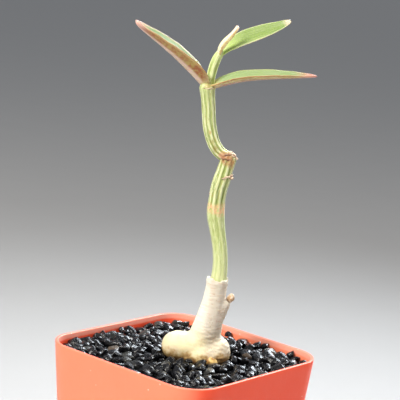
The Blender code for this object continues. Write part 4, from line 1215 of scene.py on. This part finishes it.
def stone_shape(index):
    """One crushed stone about a unit across: flat facets with worn edges."""
    rng = random.Random(100 * stone_seed + index)
    bm = bmesh.new()
    stretch = (rng.uniform(1.05, 1.50), rng.uniform(0.85, 1.10), rng.uniform(0.55, 0.85))
    for k in range(stone_corners):
        height = 1 - (2 * k + 1) / stone_corners
        bearing = k * math.pi * (3 - math.sqrt(5)) + rng.uniform(-0.45, 0.45)
        ring = math.sqrt(1 - height * height)
        reach = rng.uniform(0.78, 1.16)
        point = (ring * math.cos(bearing) * reach, ring * math.sin(bearing) * reach, height * reach)
        bm.verts.new([a * b for a, b in zip(point, stretch)])
    hull = bmesh.ops.convex_hull(bm, input=bm.verts)
    bmesh.ops.delete(bm, geom=hull["geom_interior"], context="VERTS")
    bmesh.ops.dissolve_limit(bm, angle_limit=math.radians(15), verts=bm.verts, edges=bm.edges)
    bmesh.ops.bevel(bm, geom=bm.edges, offset=0.11, segments=1, affect="EDGES")
    bmesh.ops.triangulate(bm, faces=[face for face in bm.faces if len(face.verts) > 4])
    bmesh.ops.recalc_face_normals(bm, faces=bm.faces)
    mesh = bpy.data.meshes.new(f"stone_{index:02d}")
    bm.to_mesh(mesh)
    bm.free()
    mesh.set_sharp_from_angle(angle=math.radians(37))
    return mesh


def stones_tree():
    """Lays a stone, picked from a collection and turned at random, on each point that holds a size."""
    tree = bpy.data.node_groups.new("laid_stones", "GeometryNodeTree")
    input_named(tree, "Places", "NodeSocketGeometry")
    input_named(tree, "Shapes", "NodeSocketCollection")
    input_named(tree, "Swell", "NodeSocketFloat", 1.0)
    input_named(tree, "Seed", "NodeSocketInt", 0)
    input_named(tree, "Stone", "NodeSocketMaterial")
    tree.interface.new_socket("Stones", in_out="OUTPUT", socket_type="NodeSocketGeometry")
    given = node(tree, "NodeGroupInput").outputs
    shapes = node(tree, "GeometryNodeCollectionInfo", {
        "Collection": given["Shapes"], "Separate Children": True, "Reset Children": True,
    }).outputs["Instances"]
    pick = node(tree, "FunctionNodeRandomValue", {
        "Min_002": 0, "Max_002": 10000, "Seed": given["Seed"],
    }, data_type="INT")
    # Flat stones come to rest on their sides, so they tip only so far but face any way round
    spin = node(tree, "FunctionNodeRandomValue", {
        "Min": (-0.75, -0.75, 0.0), "Max": (0.75, 0.75, 2 * math.pi), "Seed": given["Seed"],
    }, data_type="FLOAT_VECTOR")
    turn = node(tree, "FunctionNodeEulerToRotation", {"Euler": spin.outputs["Value"]}).outputs["Rotation"]
    size = sums(tree, "MULTIPLY", value_of(tree, "size"), given["Swell"])
    size = node(tree, "ShaderNodeCombineXYZ", {"X": size, "Y": size, "Z": size}).outputs["Vector"]
    laid = node(tree, "GeometryNodeInstanceOnPoints", {
        "Points": given["Places"], "Instance": shapes, "Pick Instance": True,
        "Instance Index": pick.outputs[2], "Rotation": turn, "Scale": size,
    }).outputs["Instances"]
    laid = node(tree, "GeometryNodeRealizeInstances", {"Geometry": laid}).outputs["Geometry"]
    laid = node(tree, "GeometryNodeSetShadeSmooth", {"Geometry": laid}).outputs["Geometry"]
    laid = node(tree, "GeometryNodeSetMaterial", {"Geometry": laid, "Material": given["Stone"]}).outputs["Geometry"]
    node(tree, "NodeGroupOutput", {"Stones": laid})
    return tree


def stone_finish():
    """Black stone under a film of water, a few stones grey, brown or pale, by their tone value."""
    material, tree, shader = finish("wet_black_stone")
    where = object_place(tree)
    tone = surface_value(tree, "tone")
    grain = speckle(tree, where, 1900.0, detail=6.0, rough=0.7)
    cloud = speckle(tree, where, 500.0, detail=4.0)
    colour = blended(tree, cloud, (0.0020, 0.0022, 0.0032), (0.009, 0.009, 0.011))
    colour = blended(tree, within(tree, tone, 0.84, 0.90, 0.0, 0.8), colour, (0.050, 0.050, 0.046))
    colour = blended(tree, within(tree, tone, 0.955, 0.965, 0.0, 0.7), colour, (0.11, 0.075, 0.05))
    colour = blended(tree, within(tree, tone, 0.985, 0.995, 0.0, 0.9), colour, (0.10, 0.11, 0.095))
    flecks = within(tree, grain, 0.68, 0.76, 0.0, 0.4)
    tree.links.new(blended(tree, flecks, colour, (0.12, 0.12, 0.11)), shader.inputs["Base Color"])
    tree.links.new(within(tree, grain, 0.3, 0.7, 0.12, 0.40), shader.inputs["Roughness"])
    shader.inputs["Specular IOR Level"].default_value = 0.15
    # The film of water is thin, and breaks up over the rough faces
    tree.links.new(within(tree, cloud, 0.38, 0.60, 0.25, 0.80), shader.inputs["Coat Weight"])
    shader.inputs["Coat Roughness"].default_value = 0.11
    shader.inputs["Coat IOR"].default_value = 1.38
    rough_face = relief(tree, grain, 0.16 * mm, under=relief(tree, cloud, 0.5 * mm))
    tree.links.new(rough_face, shader.inputs["Normal"])
    wet_face = relief(tree, grain, 0.04 * mm, under=relief(tree, cloud, 0.44 * mm))
    tree.links.new(wet_face, shader.inputs["Coat Normal"])
    return material


stone_skin = stone_finish()
spots, radii = settled_stones()
tones = np.random.default_rng(stone_seed + 1).random(stone_count).astype(np.float32)
places_mesh = bpy.data.meshes.new("stone_places")
places_mesh.from_pydata([tuple(spot) for spot in spots], [], [])
places_mesh.attributes.new("size", "FLOAT", "POINT").data.foreach_set("value", radii.astype(np.float32))
places_mesh.attributes.new("tone", "FLOAT", "POINT").data.foreach_set("value", tones)
stones = place("gravel_stones", places_mesh)
shapes = bpy.data.collections.new("stone_shapes")
for index in range(stone_kinds):
    shapes.objects.link(bpy.data.objects.new(f"stone_{index:02d}", stone_shape(index)))
made_by(stones, stones_tree(), {"Shapes": shapes, "Swell": 1.02, "Seed": stone_seed, "Stone": stone_skin})
for shape in list(shapes.objects):
    bpy.data.objects.remove(shape)
bpy.data.collections.remove(shapes)

grit_rings = [pot_outline(gravel_foot, pot_wall + 0.3 * mm)]
for inset in along(pot_wall + 0.4 * mm, 26 * mm, 20):
    ring = pot_outline(grit_top + dish_depth, inset)
    grit_rings.append([Vector((point.x, point.y, bed_height(point.x, point.y))) for point in ring])
grit = place("grit_bed", skin(grit_rings, "grit_bed"))
grit.data.materials.append(stone_skin)
for piece in (stones, grit):
    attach(piece, "root")
    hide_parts("black_gravel")
